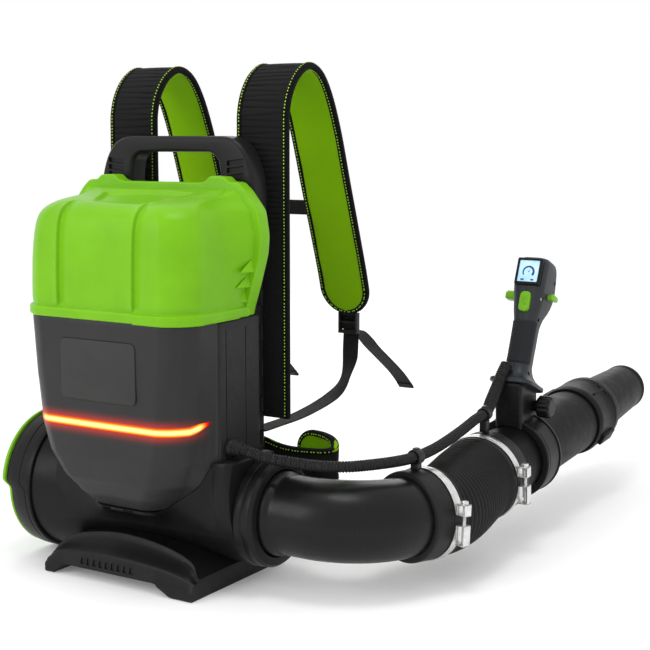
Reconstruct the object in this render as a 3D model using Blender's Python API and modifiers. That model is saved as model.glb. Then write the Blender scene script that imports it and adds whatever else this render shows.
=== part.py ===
"""Backpack leaf blower: a battery fan unit on a carrying frame with harness, hose, blower tube
and throttle handle. Metres, +Z up, +X to the operator's right, +Y towards the wearer's back.
The origin is on the ground under the middle of the fan, whose axis runs along X."""
import math

import bmesh
import bpy
from mathutils import Matrix, Vector

# ---- driving dimensions ------------------------------------------------------------------------
GAP = 0.0003                    # clearance between pieces that touch
ROUND_GAP = 0.0009              # the same between round pieces whose facets don't line up
WALL = 0.003                    # moulded wall
FAN_Z = 0.093                   # height of the fan axis
FAN_LEFT = -0.203               # intake end of the fan housing
FAN_RIGHT = 0.146               # outlet end of the fan housing
FAN_BORE = 0.0635               # duct bore beside the motor
SHAFT_R = 0.004
CAN_R = 0.031                   # motor can

BODY_REAR = -0.135              # rear face of the housing
BODY_SPLIT = -0.066             # seam between the rear and the front housing
BODY_FRONT = 0.020
BODY_HALF = 0.125               # half width of the housing at the lid
SEAM_Z = 0.333                  # seam between the housing and the top cover
HOUSING_BOTTOM = 0.092
LIGHT_Z = 0.207                 # middle of the light strip
LIGHT_HEIGHT = 0.010

COVER_TOP = 0.485
FLANGE_BACK = -0.012            # the cover's front flange, along Y
FLANGE_FRONT = 0.008

HANDLE_BACK = 0.0160            # carry handle, along Y
HANDLE_FRONT = 0.048
HANDLE_TOP = 0.549

FRAME_FRONT = 0.0555
STRAP_IN = 0.064                # inner and outer edge of a shoulder strap
STRAP_OUT = 0.142
STRAP_THICK = 0.008

TUBE_R = 0.049                  # elbow, outside
TUBE_WALL = 0.003
ELBOW_X = 0.209                 # where the elbow starts to bend
ELBOW_BEND_R = 0.092
ELBOW_TURN = math.radians(76)
ELBOW_DROOP = math.radians(-3.2)
CUFF_R = 0.0565
BELLOWS_R = 0.0560
BELLOWS_VALLEY = 0.0515
BELLOWS_BORE = 0.0475
RIDGES = 11
LINE_START = Vector((0.307, 0.274, 0.097))      # front end of the bellows
LINE_PITCH = math.radians(4)
MID_R = 0.048                   # middle tube, outside
MID_END = 0.344
NOZZLE_END = 0.546
NOZZLE_R = 0.043
NOZZLE_TIP_R = 0.036
NOZZLE_WALL = 0.0025

GRIP_BASE = Vector((0.307, 0.382, 0.204))
GRIP_LEAN = math.radians(22.5)
GRIP_WALL = 0.0022
LEVER_Y, LEVER_Z = 0.006, 0.132                 # cruise lever axis, in the grip's frame
TRIGGER_Y, TRIGGER_Z = 0.010, 0.099             # trigger axis, in the grip's frame
KNOB = Vector((0.3273, 0.405, 0.1745))

CABLE_R = 0.0065
CLIP_REAR = Vector((0.3055, 0.0940, 0.1615))
CLIP_FRONT = Vector((0.3030, 0.2920, 0.1800))

ROUND = 26                      # steps round a large turned piece
SMALL_ROUND = 16

COLOURS = {                     # base colour, roughness, metallic
    "cover_green": ((0.205, 0.578, 0.032), 0.42, 0.0),
    "housing_grey": ((0.058, 0.058, 0.058), 0.45, 0.0),
    "fan_black": ((0.026, 0.026, 0.027), 0.42, 0.0),
    "tube_black": ((0.022, 0.022, 0.023), 0.35, 0.0),
    "rubber_black": ((0.018, 0.018, 0.018), 0.70, 0.0),
    "lever_green": ((0.190, 0.510, 0.022), 0.35, 0.0),
    "strap_black": ((0.012, 0.012, 0.012), 0.95, 0.0),
    "foam_black": ((0.015, 0.015, 0.015), 0.90, 0.0),
    "webbing_black": ((0.010, 0.010, 0.010), 0.90, 0.0),
    "buckle_black": ((0.020, 0.020, 0.020), 0.40, 0.0),
    "clamp_steel": ((0.600, 0.600, 0.590), 0.35, 1.0),
    "motor_steel": ((0.450, 0.450, 0.460), 0.35, 1.0),
    "copper": ((0.700, 0.300, 0.150), 0.40, 1.0),
    "light_lens": ((0.900, 0.120, 0.030), 0.20, 0.0),
    "display_glass": ((0.450, 0.680, 0.900), 0.10, 0.0),
    "cable_black": ((0.014, 0.014, 0.014), 0.60, 0.0),
    "battery_grey": ((0.100, 0.105, 0.110), 0.50, 0.0),
}


def clear_scene():
    for item in list(bpy.data.objects):
        bpy.data.objects.remove(item, do_unlink=True)


def collection(name):
    made = bpy.data.collections.new(name)
    bpy.context.scene.collection.children.link(made)
    return made


clear_scene()
PARTS = collection("backpack_blower")
CUTTERS = collection("cutters")
MATERIALS = {}


def material(name):
    if name not in MATERIALS:
        colour, roughness, metallic = COLOURS[name]
        made = bpy.data.materials.new(name)
        made.use_nodes = True
        shader = made.node_tree.nodes["Principled BSDF"]
        shader.inputs["Base Color"].default_value = (*colour, 1.0)
        shader.inputs["Roughness"].default_value = roughness
        shader.inputs["Metallic"].default_value = metallic
        MATERIALS[name] = made
    return MATERIALS[name]


# ---- modelling helpers -------------------------------------------------------------------------
def finish(item, finish_name):
    """Puts an object among the parts, with its material, and shades its round faces smooth."""
    for home in list(item.users_collection):
        home.objects.unlink(item)
    PARTS.objects.link(item)
    item.data.materials.clear()
    item.data.materials.append(material(finish_name))
    if item.type == "MESH":
        item.data.shade_smooth()
        item.data.set_sharp_from_angle(angle=math.radians(35))
    return item


def as_cutter(item):
    """A cutter or a piece that is joined to another: in its own collection, not a part."""
    for home in list(item.users_collection):
        home.objects.unlink(item)
    CUTTERS.objects.link(item)
    item.hide_render = True
    item.display_type = "WIRE"
    return item


def mesh_object(name, bm):
    bmesh.ops.recalc_face_normals(bm, faces=bm.faces)
    mesh = bpy.data.meshes.new(name)
    bm.to_mesh(mesh)
    bm.free()
    item = bpy.data.objects.new(name, mesh)
    CUTTERS.objects.link(item)
    return item


def place(item, matrix):
    item.matrix_world = matrix
    return item


def bevel(item, width, segments=2, angle=30):
    made = item.modifiers.new("bevel", "BEVEL")
    made.width = width
    made.segments = segments
    made.limit_method = "ANGLE"
    made.angle_limit = math.radians(angle)
    return item


def boolean(item, other, operation):
    made = item.modifiers.new(operation.lower() + "_" + other.name, "BOOLEAN")
    made.operation = operation
    made.solver = "EXACT"
    made.object = as_cutter(other)
    return item


def cut(item, *others):
    for other in others:
        boolean(item, other, "DIFFERENCE")
    return item


def join(item, *others):
    for other in others:
        boolean(item, other, "UNION")
    return item


def box(name, low, high, edge=0.0, segments=2):
    bm = bmesh.new()
    low, high = Vector(low), Vector(high)
    size = high - low
    shape = Matrix.Translation((low + high) / 2) @ Matrix.Diagonal((*size, 1))
    bmesh.ops.create_cube(bm, size=1, matrix=shape)
    item = mesh_object(name, bm)
    if edge:
        bevel(item, edge, segments)
    return item


def rod(name, start, end, radius, steps=SMALL_ROUND):
    start, end = Vector(start), Vector(end)
    bm = bmesh.new()
    turn = (end - start).to_track_quat("Z", "Y").to_matrix().to_4x4()
    shape = Matrix.Translation((start + end) / 2) @ turn
    bmesh.ops.create_cone(bm, cap_ends=True, segments=steps, radius1=radius, radius2=radius,
                          depth=(end - start).length, matrix=shape)
    return mesh_object(name, bm)


def turned(name, profile, matrix, steps=ROUND, closed=True):
    """Turns a profile of (radius, height) points round local Z. It runs down its outer side."""
    bm = bmesh.new()
    points = [bm.verts.new((radius, 0, height)) for radius, height in profile]
    for first, second in zip(points, points[1:]):
        bm.edges.new((first, second))
    if closed:
        bm.edges.new((points[-1], points[0]))
    mesh = bpy.data.meshes.new(name)
    bm.to_mesh(mesh)
    bm.free()
    item = bpy.data.objects.new(name, mesh)
    CUTTERS.objects.link(item)
    screw = item.modifiers.new("screw", "SCREW")
    screw.steps = steps
    screw.render_steps = steps
    screw.use_merge_vertices = True
    screw.merge_threshold = 0.0001
    screw.use_smooth_shade = True
    return place(item, matrix)


def ring(name, radius_in, radius_out, low, high, matrix, steps=ROUND):
    profile = [(radius_out, high), (radius_out, low), (radius_in, low), (radius_in, high)]
    return turned(name, profile, matrix, steps)


def loft(name, sections):
    """A closed solid through sections that each hold the same number of points."""
    bm = bmesh.new()
    rows = [[bm.verts.new(point) for point in section] for section in sections]
    for lower, upper in zip(rows, rows[1:]):
        for index in range(len(lower)):
            after = (index + 1) % len(lower)
            bm.faces.new((lower[index], lower[after], upper[after], upper[index]))
    bm.faces.new(list(reversed(rows[0])))
    bm.faces.new(rows[-1])
    return mesh_object(name, bm)


def curve_to_mesh(curve_object, name, flat=False):
    """A curve's solid as a closed mesh, so that it can be cut or joined."""
    bpy.context.view_layer.update()
    graph = bpy.context.evaluated_depsgraph_get()
    mesh = bpy.data.meshes.new_from_object(curve_object.evaluated_get(graph))
    bm = bmesh.new()
    bm.from_mesh(mesh)
    bmesh.ops.remove_doubles(bm, verts=bm.verts, dist=0.00001)
    if flat:
        bmesh.ops.dissolve_limit(bm, angle_limit=0.01, verts=bm.verts, edges=bm.edges)
    bmesh.ops.recalc_face_normals(bm, faces=bm.faces)
    bm.to_mesh(mesh)
    bm.free()
    item = bpy.data.objects.new(name, mesh)
    CUTTERS.objects.link(item)
    item.matrix_world = curve_object.matrix_world
    bpy.data.objects.remove(curve_object, do_unlink=True)
    return item


def new_curve(name, points, closed, dimensions):
    data = bpy.data.curves.new(name + "_line", "CURVE")
    data.dimensions = dimensions
    spline = data.splines.new("POLY")
    spline.points.add(len(points) - 1)
    for slot, point in zip(spline.points, points):
        slot.co = (*point, 1.0) if len(point) == 3 else (*point, 0.0, 1.0)
    spline.use_cyclic_u = closed
    item = bpy.data.objects.new(name + "_line", data)
    CUTTERS.objects.link(item)
    return item


def tube(name, points, radius, sides=12, radii=None):
    """A round bar along points. radii scales the radius at each point."""
    item = new_curve(name, points, False, "3D")
    item.data.bevel_depth = radius
    item.data.bevel_resolution = sides // 2 - 2
    item.data.use_fill_caps = True
    for slot, scale in zip(item.data.splines[0].points, radii or []):
        slot.radius = scale
    return curve_to_mesh(item, name)


def plate(name, outline, thickness, matrix):
    """A flat outline in local XY, with half its thickness on each side of the plane."""
    item = new_curve(name, outline, True, "2D")
    item.data.fill_mode = "BOTH"
    item.data.extrude = thickness / 2
    return place(curve_to_mesh(item, name, flat=True), matrix)


def smooth_line(points, spacing):
    """Points along a smooth curve through the given ones, about spacing apart."""
    points = [Vector(point) for point in points]
    padded = [2 * points[0] - points[1], *points, 2 * points[-1] - points[-2]]
    line = []
    for a, b, c, d in zip(padded, padded[1:], padded[2:], padded[3:]):
        count = max(2, round((c - b).length / spacing))
        for step in range(count):
            t = step / count
            line.append(0.5 * (2 * b + (c - a) * t + (2 * a - 5 * b + 4 * c - d) * t ** 2
                               + (3 * b - a - 3 * c + d) * t ** 3))
    return line + [points[-1]]


def band_outline(line, thickness):
    """The outline of a band of that thickness, whose one face follows a line in a plane."""
    other = []
    for index, point in enumerate(line):
        before = line[max(index - 1, 0)]
        after = line[min(index + 1, len(line) - 1)]
        along = (after - before).normalized()
        other.append(point + Vector((along.y, -along.x)) * thickness)
    return list(line) + other[::-1]


def rounded_section(half_x, low_y, high_y, radius_low, radius_high, z, steps=3):
    """A horizontal outline, symmetric about x = 0, with round corners at both ends."""
    section = []
    corners = ((half_x, high_y, radius_high, 0), (-half_x, high_y, radius_high, 1),
               (-half_x, low_y, radius_low, 2), (half_x, low_y, radius_low, 3))
    for x, y, radius, quarter in corners:
        centre_x = x - math.copysign(radius, x)
        centre_y = y + (-radius if quarter < 2 else radius)
        for step in range(steps + 1):
            angle = math.pi / 2 * (quarter + step / steps)
            section.append((centre_x + radius * math.cos(angle),
                            centre_y + radius * math.sin(angle), z))
    return section


# ---- frames of the turned pieces ---------------------------------------------------------------
FAN_AXIS = Matrix.Translation((0, 0, FAN_Z)) @ Matrix.Rotation(math.pi / 2, 4, "Y")
LINE = Matrix.Translation(LINE_START) @ Matrix.Rotation(LINE_PITCH - math.pi / 2, 4, "X")
GRIP = Matrix.Translation(GRIP_BASE) @ Matrix.Rotation(-GRIP_LEAN, 4, "X")
SIDE_PLANE = Matrix(((0, 0, 1, 0), (1, 0, 0, 0), (0, 1, 0, 0), (0, 0, 0, 1)))   # local XY is YZ
FRONT_PLANE = Matrix.Rotation(math.pi / 2, 4, "X")                                # local XY is XZ


def elbow_point(angle):
    out = ELBOW_BEND_R * (1 - math.cos(angle))
    return Vector((ELBOW_X + ELBOW_BEND_R * math.sin(angle),
                   out * math.cos(ELBOW_DROOP), FAN_Z + out * math.sin(ELBOW_DROOP)))


ELBOW_END = elbow_point(ELBOW_TURN)
ELBOW_OUT = Vector((math.cos(ELBOW_TURN), math.sin(ELBOW_TURN) * math.cos(ELBOW_DROOP),
                    math.sin(ELBOW_TURN) * math.sin(ELBOW_DROOP)))
LINE_OUT = Vector((0, math.cos(LINE_PITCH), math.sin(LINE_PITCH)))
HOSE_PIVOT = (ELBOW_END + ELBOW_OUT * 0.059 + LINE_START - LINE_OUT * 0.017) / 2


def frame_along(origin, direction):
    """A frame whose Z runs along direction and whose X stays level, towards +X."""
    level = Vector((direction.y, -direction.x, 0)).normalized()
    down = direction.cross(level)
    turn = Matrix((level, down, direction)).transposed().to_4x4()
    return Matrix.Translation(origin) @ turn


HOSE_REAR = frame_along(ELBOW_END, ELBOW_OUT)


# ---- fan unit ----------------------------------------------------------------------------------
FAN_OUTSIDE = [(0.0665, FAN_RIGHT), (0.0660, 0.115), (0.0645, 0.080), (0.0650, 0.030),
               (0.0690, -0.030), (0.0750, -0.085), (0.0820, -0.130), (0.0870, -0.160),
               (0.0915, -0.1605), (0.0915, -0.190), (0.0890, FAN_LEFT)]
FAN_INSIDE = [(0.0850, FAN_LEFT), (0.0790, -0.135), (0.0725, -0.095), (0.0660, -0.055),
              (FAN_BORE, -0.040), (FAN_BORE, 0.050), (0.0590, FAN_RIGHT)]


def fan_clearance(name):
    """A solid a clearance larger than the fan housing, for what is moulded round it."""
    outside = [(radius + GAP, along) for radius, along in FAN_OUTSIDE]
    profile = [(0, FAN_RIGHT + GAP), (FAN_OUTSIDE[0][0] + GAP, FAN_RIGHT + GAP), *outside[1:-1],
               (outside[-1][0], FAN_LEFT - GAP), (0, FAN_LEFT - GAP)]
    return turned(name, profile, FAN_AXIS, closed=False)


def fan_housing():
    item = turned("fan_housing", FAN_OUTSIDE + FAN_INSIDE, FAN_AXIS)
    finish(item, "fan_black")


def intake_rim():
    face = FAN_LEFT - GAP
    profile = [(0.0870, face), (0.0895, face - 0.0010), (0.0890, face - 0.0040),
               (0.0800, face - 0.0050), (0.0776, face - 0.0040), (0.0776, face)]
    finish(turned("intake_rim", profile, FAN_AXIS), "lever_green")


def intake_grille():
    left = FAN_LEFT - 0.0040
    item = ring("intake_grille", 0.0740, 0.0772, left, left + 0.004, FAN_AXIS, ROUND)
    for index, radius in enumerate((0.052, 0.032)):
        join(item, ring(f"grille_ring_{index}", radius - 0.002, radius + 0.002, left, left + 0.003,
                        FAN_AXIS, SMALL_ROUND))
    for index in range(3):
        bar = box(f"grille_bar_{index}", (-0.0755, -0.0015, left), (0.0755, 0.0015, left + 0.0032))
        join(item, place(bar, FAN_AXIS @ Matrix.Rotation(math.pi / 3 * index, 4, "Z")))
    join(item, turned("grille_hub", [(0, left + 0.004), (0.014, left + 0.004), (0.014, left - 0.001),
                                     (0, left - 0.001)], FAN_AXIS, SMALL_ROUND, closed=False))
    finish(item, "fan_black")


def outlet_ring():
    near = FAN_RIGHT + GAP
    profile = [(0.0630, near + 0.0250), (0.0670, near + 0.0200), (0.0675, near), (0.0592, near),
               (0.0592, near + 0.0053), (TUBE_R + 0.0042, near + 0.0057),
               (TUBE_R + 0.0042, near + 0.0250)]
    finish(turned("outlet_ring", profile, FAN_AXIS), "fan_black")


def impeller():
    front, back = -0.118, -0.062
    item = turned("impeller", [(0.0290, back), (0.0270, -0.090), (0.0180, -0.110), (0.0100, front),
                               (SHAFT_R + GAP, front), (SHAFT_R + GAP, back)], FAN_AXIS, SMALL_ROUND)
    blades = 9
    for index in range(blades):
        root = [(0.020, -0.008, -0.100), (0.020, -0.006, -0.100), (0.020, 0.010, -0.068),
                (0.020, 0.008, -0.068)]
        tip = [(0.0655, -0.018, -0.098), (0.0655, -0.016, -0.098), (0.0655, 0.015, -0.074),
               (0.0655, 0.013, -0.074)]
        blade = loft(f"blade_{index}", [root, tip])
        join(item, place(blade, FAN_AXIS @ Matrix.Rotation(2 * math.pi / blades * index, 4, "Z")))
    finish(item, "fan_black")


def motor():
    finish(rod("motor_shaft", (-0.122, 0, FAN_Z), (0.052, 0, FAN_Z), SHAFT_R, 16), "motor_steel")
    finish(ring("motor_rotor", SHAFT_R + GAP, 0.0155, -0.028, 0.026, FAN_AXIS, SMALL_ROUND),
           "motor_steel")
    stator = ring("motor_stator", 0.0163, CAN_R - 0.0033, -0.030, 0.028, FAN_AXIS, SMALL_ROUND)
    finish(stator, "copper")
    for name, low in (("bearing_front", -0.0440), ("bearing_rear", 0.0360)):
        finish(ring(name, SHAFT_R + GAP, 0.0110, low, low + 0.007, FAN_AXIS, SMALL_ROUND),
               "motor_steel")
    inside, seat = CAN_R - 0.003, 0.0110 + GAP
    can = turned("motor_can", [(0.0180, 0.0440), (CAN_R, 0.0340), (CAN_R, -0.0450), (seat, -0.0450),
                               (seat, -0.0360), (inside, -0.0360), (inside, 0.0340),
                               (seat, 0.0350), (seat, 0.0440)], FAN_AXIS, SMALL_ROUND)
    vanes = 7
    for index in range(vanes):
        vane = box(f"vane_{index}", (CAN_R - 0.0015, -0.0012, -0.030),
                   (FAN_BORE - ROUND_GAP, 0.0012, 0.026))
        join(can, place(vane, FAN_AXIS @ Matrix.Rotation(2 * math.pi / vanes * index, 4, "Z")))
    finish(can, "fan_black")


# ---- body --------------------------------------------------------------------------------------
# height, half width at the rear, rear face, half width at the split
LOBE = ((HOUSING_BOTTOM, 0.042, -0.086, 0.062), (0.100, 0.056, -0.098, 0.086),
        (0.115, 0.076, -0.112, 0.103), (0.135, 0.092, -0.122, 0.116), (0.165, 0.106, -0.129, 0.124),
        (0.200, 0.113, -0.132, BODY_HALF), (0.260, 0.119, -0.134, BODY_HALF),
        (SEAM_Z, 0.1235, BODY_REAR, BODY_HALF))


def body_width(z):
    """The rear housing's rear half width, rear face and split half width at a height."""
    for lower, upper in zip(LOBE, LOBE[1:]):
        if z <= upper[0]:
            part = (z - lower[0]) / (upper[0] - lower[0])
            return [a + part * (b - a) for a, b in zip(lower[1:], upper[1:])]
    return LOBE[-1][1:]


def rear_form(name, grow, heights, front=BODY_SPLIT):
    """The rear housing's outer form, grown or shrunk by an offset, at those heights."""
    sections = []
    for z in heights:
        half, rear, wide = body_width(z)
        radius = min(0.030, half * 0.6, (BODY_SPLIT - rear) * 0.7)
        reach = (front - rear - radius) / (BODY_SPLIT - rear - radius)
        wide = half + (wide - half) * reach + grow
        corners = rounded_section(half + grow, rear - grow, front, radius + grow, 0, z, 3)[8:]
        sections.append([(wide, front, z), (-wide, front, z)] + corners)
    return loft(name, sections)


def light_solid(name, grow, out):
    """The light strip: a band round the rear face and the right corner, ending in a point."""
    low, high = LIGHT_Z - LIGHT_HEIGHT / 2 - grow, LIGHT_Z + LIGHT_HEIGHT / 2 + grow
    band = rear_form(name, out, (low, high))
    cut(band, rear_form(name + "_inside", -0.0018 - grow, (low - 0.001, high + 0.001), 0.02))
    cut(band, box(name + "_front", (-0.2, -0.078 + grow, 0), (0.2, 0.1, 0.4)),
        box(name + "_left", (-0.2, -0.2, 0), (-0.098 - grow, 0.1, 0.4)))
    return band


def panel_block(name, grow):
    """The block in the rear wall that the rear panel is set into."""
    section = rounded_section(0.058 + grow, 0.236 - grow, 0.310 + grow, 0.006, 0.006, 0, 2)
    outline = [(x, z) for x, z, _ in section]
    inner = -0.1322 + grow
    return plate(name, outline, 0.02, Matrix.Translation((0, inner - 0.01, 0)) @ FRONT_PLANE)


def rear_housing():
    item = rear_form("rear_housing", 0, [section[0] for section in LOBE])
    inner = [0.100, 0.115, 0.135, 0.165, 0.200, 0.260, SEAM_Z]
    hollow = rear_form("rear_hollow", -WALL, inner, 0.05)
    for vertex in hollow.data.vertices:
        if vertex.co.z > SEAM_Z - 0.001:
            vertex.co.z += 0.01
    cut(item, hollow, fan_clearance("rear_saddle"))
    cut(item, panel_block("panel_pocket", GAP), light_solid("light_groove", GAP, 0.01))
    finish(item, "housing_grey")


def rear_panel():
    item = panel_block("rear_panel", 0)
    made = item.modifiers.new("trim", "BOOLEAN")
    made.operation = "INTERSECT"
    made.object = as_cutter(rear_form("panel_face", -0.0006, (0.210, 0.260, SEAM_Z)))
    finish(item, "housing_grey")


def light_strip():
    finish(light_solid("light_strip", 0, 0.0004), "light_lens")


def front_housing():
    low_y = BODY_SPLIT + GAP
    item = box("front_housing", (-0.127, low_y, 0.118), (0.127, BODY_FRONT, SEAM_Z), 0.004, 1)
    hollow = box("front_hollow", (-0.124, -0.2, 0.168), (0.124, BODY_FRONT - WALL, 0.5))
    cable_hole = rod("gland_hole", (0.110, -0.045, 0.178), (0.140, -0.045, 0.178), 0.0083)
    cut(item, hollow, fan_clearance("front_saddle"), cable_hole)
    finish(item, "housing_grey")


def cable_gland():
    axis = Matrix.Translation((0.1273, -0.045, 0.178)) @ Matrix.Rotation(math.pi / 2, 4, "Y")
    profile = [(0.0080, 0.014), (0.0105, 0.010), (0.0105, 0.0), (0.0080, 0.0), (0.0080, -0.008),
               (0.0050, -0.008), (0.0050, 0.004), (CABLE_R + ROUND_GAP, 0.0045), (CABLE_R + ROUND_GAP, 0.014)]
    finish(turned("cable_gland", profile, axis, SMALL_ROUND), "rubber_black")


COVER_SECTIONS = ((SEAM_Z + GAP, 0.1265, -0.1370), (0.3450, 0.1260, -0.1365), (0.3455, 0.1245, -0.1345),
                  (0.4000, 0.1235, -0.1335), (0.4405, 0.1200, -0.1308), (0.4550, 0.1165, -0.1270),
                  (0.4640, 0.1110, -0.1190), (0.4700, 0.1040, -0.1080), (0.4770, 0.1010, -0.0640),
                  (COVER_TOP, 0.0980, -0.0240))


def cover_form(name, grow, low=None, high=None):
    sections = []
    for index, (z, half, rear) in enumerate(COVER_SECTIONS):
        if index == 0 and low is not None:
            z = low
        if index == len(COVER_SECTIONS) - 1 and high is not None:
            z = high
        elif grow and index > 2:
            z += grow
        front = FLANGE_BACK + 0.004 - grow * 3
        radius = min(0.030, (front - rear) * 0.6) + grow
        sections.append(rounded_section(half + grow, rear - grow, front, radius, 0.002, z, 3))
    return loft(name, sections)


FLANGE = ((0.060, 0.4925), (0.069, 0.4950), (0.0755, 0.5010), (0.096, 0.5005), (0.103, 0.4945),
          (0.116, 0.4940), (0.127, 0.4845), (0.146, 0.4610), (0.151, 0.4310), (0.149, 0.4080),
          (0.137, 0.3660), (0.129, 0.3420), (0.127, SEAM_Z + GAP))


def top_cover():
    item = cover_form("top_cover", 0)
    right = [(x, z) for x, z in FLANGE]
    outline = right[::-1] + [(-x, z) for x, z in right]
    flange = plate("cover_flange", outline, FLANGE_FRONT - FLANGE_BACK,
                   Matrix.Translation((0, (FLANGE_BACK + FLANGE_FRONT) / 2, 0)) @ FRONT_PLANE)
    join(item, flange)
    cut(item, cover_form("cover_hollow", -WALL, SEAM_Z - 0.01))
    cut(item, box("cover_front_hollow", (-0.105, -0.02, SEAM_Z - 0.01), (0.105, 0.0048, 0.450)))
    finish(item, "cover_green")


def carry_handle():
    half = [(0.078, HANDLE_TOP), (0.096, 0.543), (0.110, 0.527), (0.119, 0.503), (0.122, 0.480),
            (0.122, 0.445)]
    outline = half + [(-x, z) for x, z in half[::-1]]
    centre = Matrix.Translation((0, (HANDLE_BACK + HANDLE_FRONT) / 2, 0)) @ FRONT_PLANE
    item = plate("carry_handle", outline, HANDLE_FRONT - HANDLE_BACK, centre)
    opening = [(0.056, 0.529), (0.067, 0.520), (0.070, 0.500), (0.070, 0.472), (0.062, 0.464)]
    hole = plate("handle_opening", opening + [(-x, z) for x, z in opening[::-1]], 0.08, centre)
    bevel(item, 0.006, 2, 50)
    cut(item, hole)
    for side in (-1, 1):
        cut(item, box(f"handle_lightening_{side}", (side * 0.096 - 0.014, 0.030, 0.440),
                      (side * 0.096 + 0.014, 0.060, 0.505)))
    finish(item, "housing_grey")


def back_frame():
    item = box("back_frame", (-0.112, BODY_FRONT + GAP, 0.115), (0.112, FRAME_FRONT, 0.4447), 0.010)
    for name, low, high in (("frame_window_low", 0.175, 0.270), ("frame_window_high", 0.300, 0.395)):
        cut(item, box(name, (-0.070, 0.0, low), (0.070, 0.1, high)))
    for side in (-1, 1):
        cut(item, box(f"frame_side_{side}", (side * 0.096 - 0.008, 0.030, 0.150),
                      (side * 0.096 + 0.008, 0.1, 0.425)))
    cut(item, fan_clearance("frame_saddle"))
    finish(item, "fan_black")


def back_pad():
    item = box("back_pad", (-0.058, FRAME_FRONT + GAP, 0.150), (0.058, 0.082, 0.430), 0.012)
    finish(item, "foam_black")


def base_foot():
    crest = ((-0.120, 0.016, -0.100), (-0.100, 0.042, -0.086), (-0.060, 0.053, -0.080),
             (-0.010, 0.057, -0.078), (0.050, 0.052, -0.080), (0.095, 0.040, -0.084),
             (0.113, 0.024, -0.094))
    sections = [[(x, -0.108, 0), (x, 0.088, 0), (x, 0.088, 0.012), (x, 0.068, top), (x, rear, top),
                 (x, -0.106, 0.012)] for x, top, rear in crest]
    item = loft("base_foot", sections)
    cut(item, fan_clearance("foot_saddle"))
    for name, front, back in (("arch_rear", -0.120, -0.050), ("arch_front", 0.050, 0.120)):
        arch = plate(name, [(-0.107, -0.01), (-0.107, 0.001), (-0.094, 0.0135), (0.056, 0.0135),
                            (0.083, -0.0005), (0.083, -0.01)], back - front,
                     Matrix.Translation((0, (front + back) / 2, 0)) @ FRONT_PLANE)
        cut(item, arch)
    finish(item, "fan_black")


# ---- inside the body ---------------------------------------------------------------------------
def battery_packs():
    for name, side in (("battery_left", -1), ("battery_right", 1)):
        low, high = (0.003, 0.098) if side > 0 else (-0.098, -0.003)
        item = box(name, (low, -0.100, 0.262), (high, -0.004, 0.425), 0.004, 1)
        cut(item, box(name + "_grip", (side * 0.050 - 0.025, -0.070, 0.415),
                      (side * 0.050 + 0.025, -0.040, 0.440)))
        finish(item, "battery_grey")


def electronics():
    dock = box("battery_dock", (-0.100, -0.104, 0.245), (0.100, 0.010, 0.2617), 0.002, 1)
    cut(dock, box("dock_slot", (-0.060, -0.065, 0.20), (0.060, -0.045, 0.30)))
    finish(dock, "fan_black")
    item = box("motor_controller", (-0.070, -0.070, 0.205), (0.070, 0.000, 0.232), 0.002, 1)
    fins = 6
    for index in range(fins):
        y = -0.062 + index * 0.0105
        cut(item, box(f"fin_gap_{index}", (-0.080, y, 0.218), (0.080, y + 0.006, 0.240)))
    finish(item, "motor_steel")


# ---- harness -----------------------------------------------------------------------------------
STRAP_LINE = ((0.0590, 0.196), (0.0590, 0.300), (0.0590, 0.420), (0.0590, 0.545), (0.0610, 0.583),
              (0.0720, 0.610), (0.0910, 0.630), (0.1160, 0.640), (0.1430, 0.631), (0.1660, 0.604),
              (0.1890, 0.556), (0.2140, 0.485), (0.2380, 0.418), (0.2580, 0.360), (0.2720, 0.310))


def flat_line(points, spacing):
    return [point.to_2d() for point in smooth_line([(y, z, 0) for y, z in points], spacing)]


def side_band(name, points, thickness, low_x, high_x, spacing):
    """A strap that follows a line in the YZ plane, between two heights on X."""
    outline = band_outline(flat_line(points, spacing), thickness)
    centre = Matrix.Translation(((low_x + high_x) / 2, 0, 0)) @ SIDE_PLANE
    return plate(name, outline, high_x - low_x, centre)


def mirrored(side, low, high):
    return (low, high) if side > 0 else (-high, -low)


def shoulder_straps():
    for name, side in (("right", 1), ("left", -1)):
        low, high = mirrored(side, STRAP_IN, STRAP_OUT)
        strap = side_band("shoulder_strap_" + name, STRAP_LINE, STRAP_THICK, low, high, 0.03)
        finish(strap, "strap_black")
        low, high = mirrored(side, 0.088, 0.118)
        buckle = box("strap_adjuster_" + name, (low, 0.2660, 0.2765), (high, 0.2760, 0.3065), 0.0015, 1)
        cut(buckle, box("adjuster_slot_" + name, (low + 0.003, 0.25, 0.2830),
                        (high - 0.003, 0.29, 0.2900)))
        finish(buckle, "buckle_black")
        low, high = mirrored(side, 0.0905, 0.1155)
        down = ((0.2765, 0.272), (0.2750, 0.240), (0.2600, 0.212), (0.2250, 0.195), (0.1700, 0.185),
                (0.1200, 0.181), (0.0700, 0.180))
        webbing = side_band("strap_webbing_" + name, down, 0.0025, low, high, 0.02)
        tail = side_band("tail_" + name, ((0.2710, 0.263), (0.2980, 0.258), (0.3400, 0.233),
                                          (0.3900, 0.197)), 0.0025, low, high, 0.02)
        join(webbing, tail)
        finish(webbing, "webbing_black")


STERNUM_Y, STERNUM_Z = 0.2285, 0.452


def sternum_strap():
    item = box("sternum_webbing", (-0.0637, STERNUM_Y, STERNUM_Z - 0.010),
               (0.0637, STERNUM_Y + 0.0025, STERNUM_Z + 0.010))
    finish(item, "webbing_black")
    buckle = box("sternum_buckle", (-0.022, STERNUM_Y - 0.004, STERNUM_Z - 0.016),
                 (0.022, STERNUM_Y + 0.0065, STERNUM_Z + 0.016), 0.003)
    cut(buckle, box("buckle_channel", (-0.05, STERNUM_Y - GAP, STERNUM_Z - 0.010 - GAP),
                    (0.05, STERNUM_Y + 0.0025 + GAP, STERNUM_Z + 0.010 + GAP)))
    finish(buckle, "buckle_black")


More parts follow.
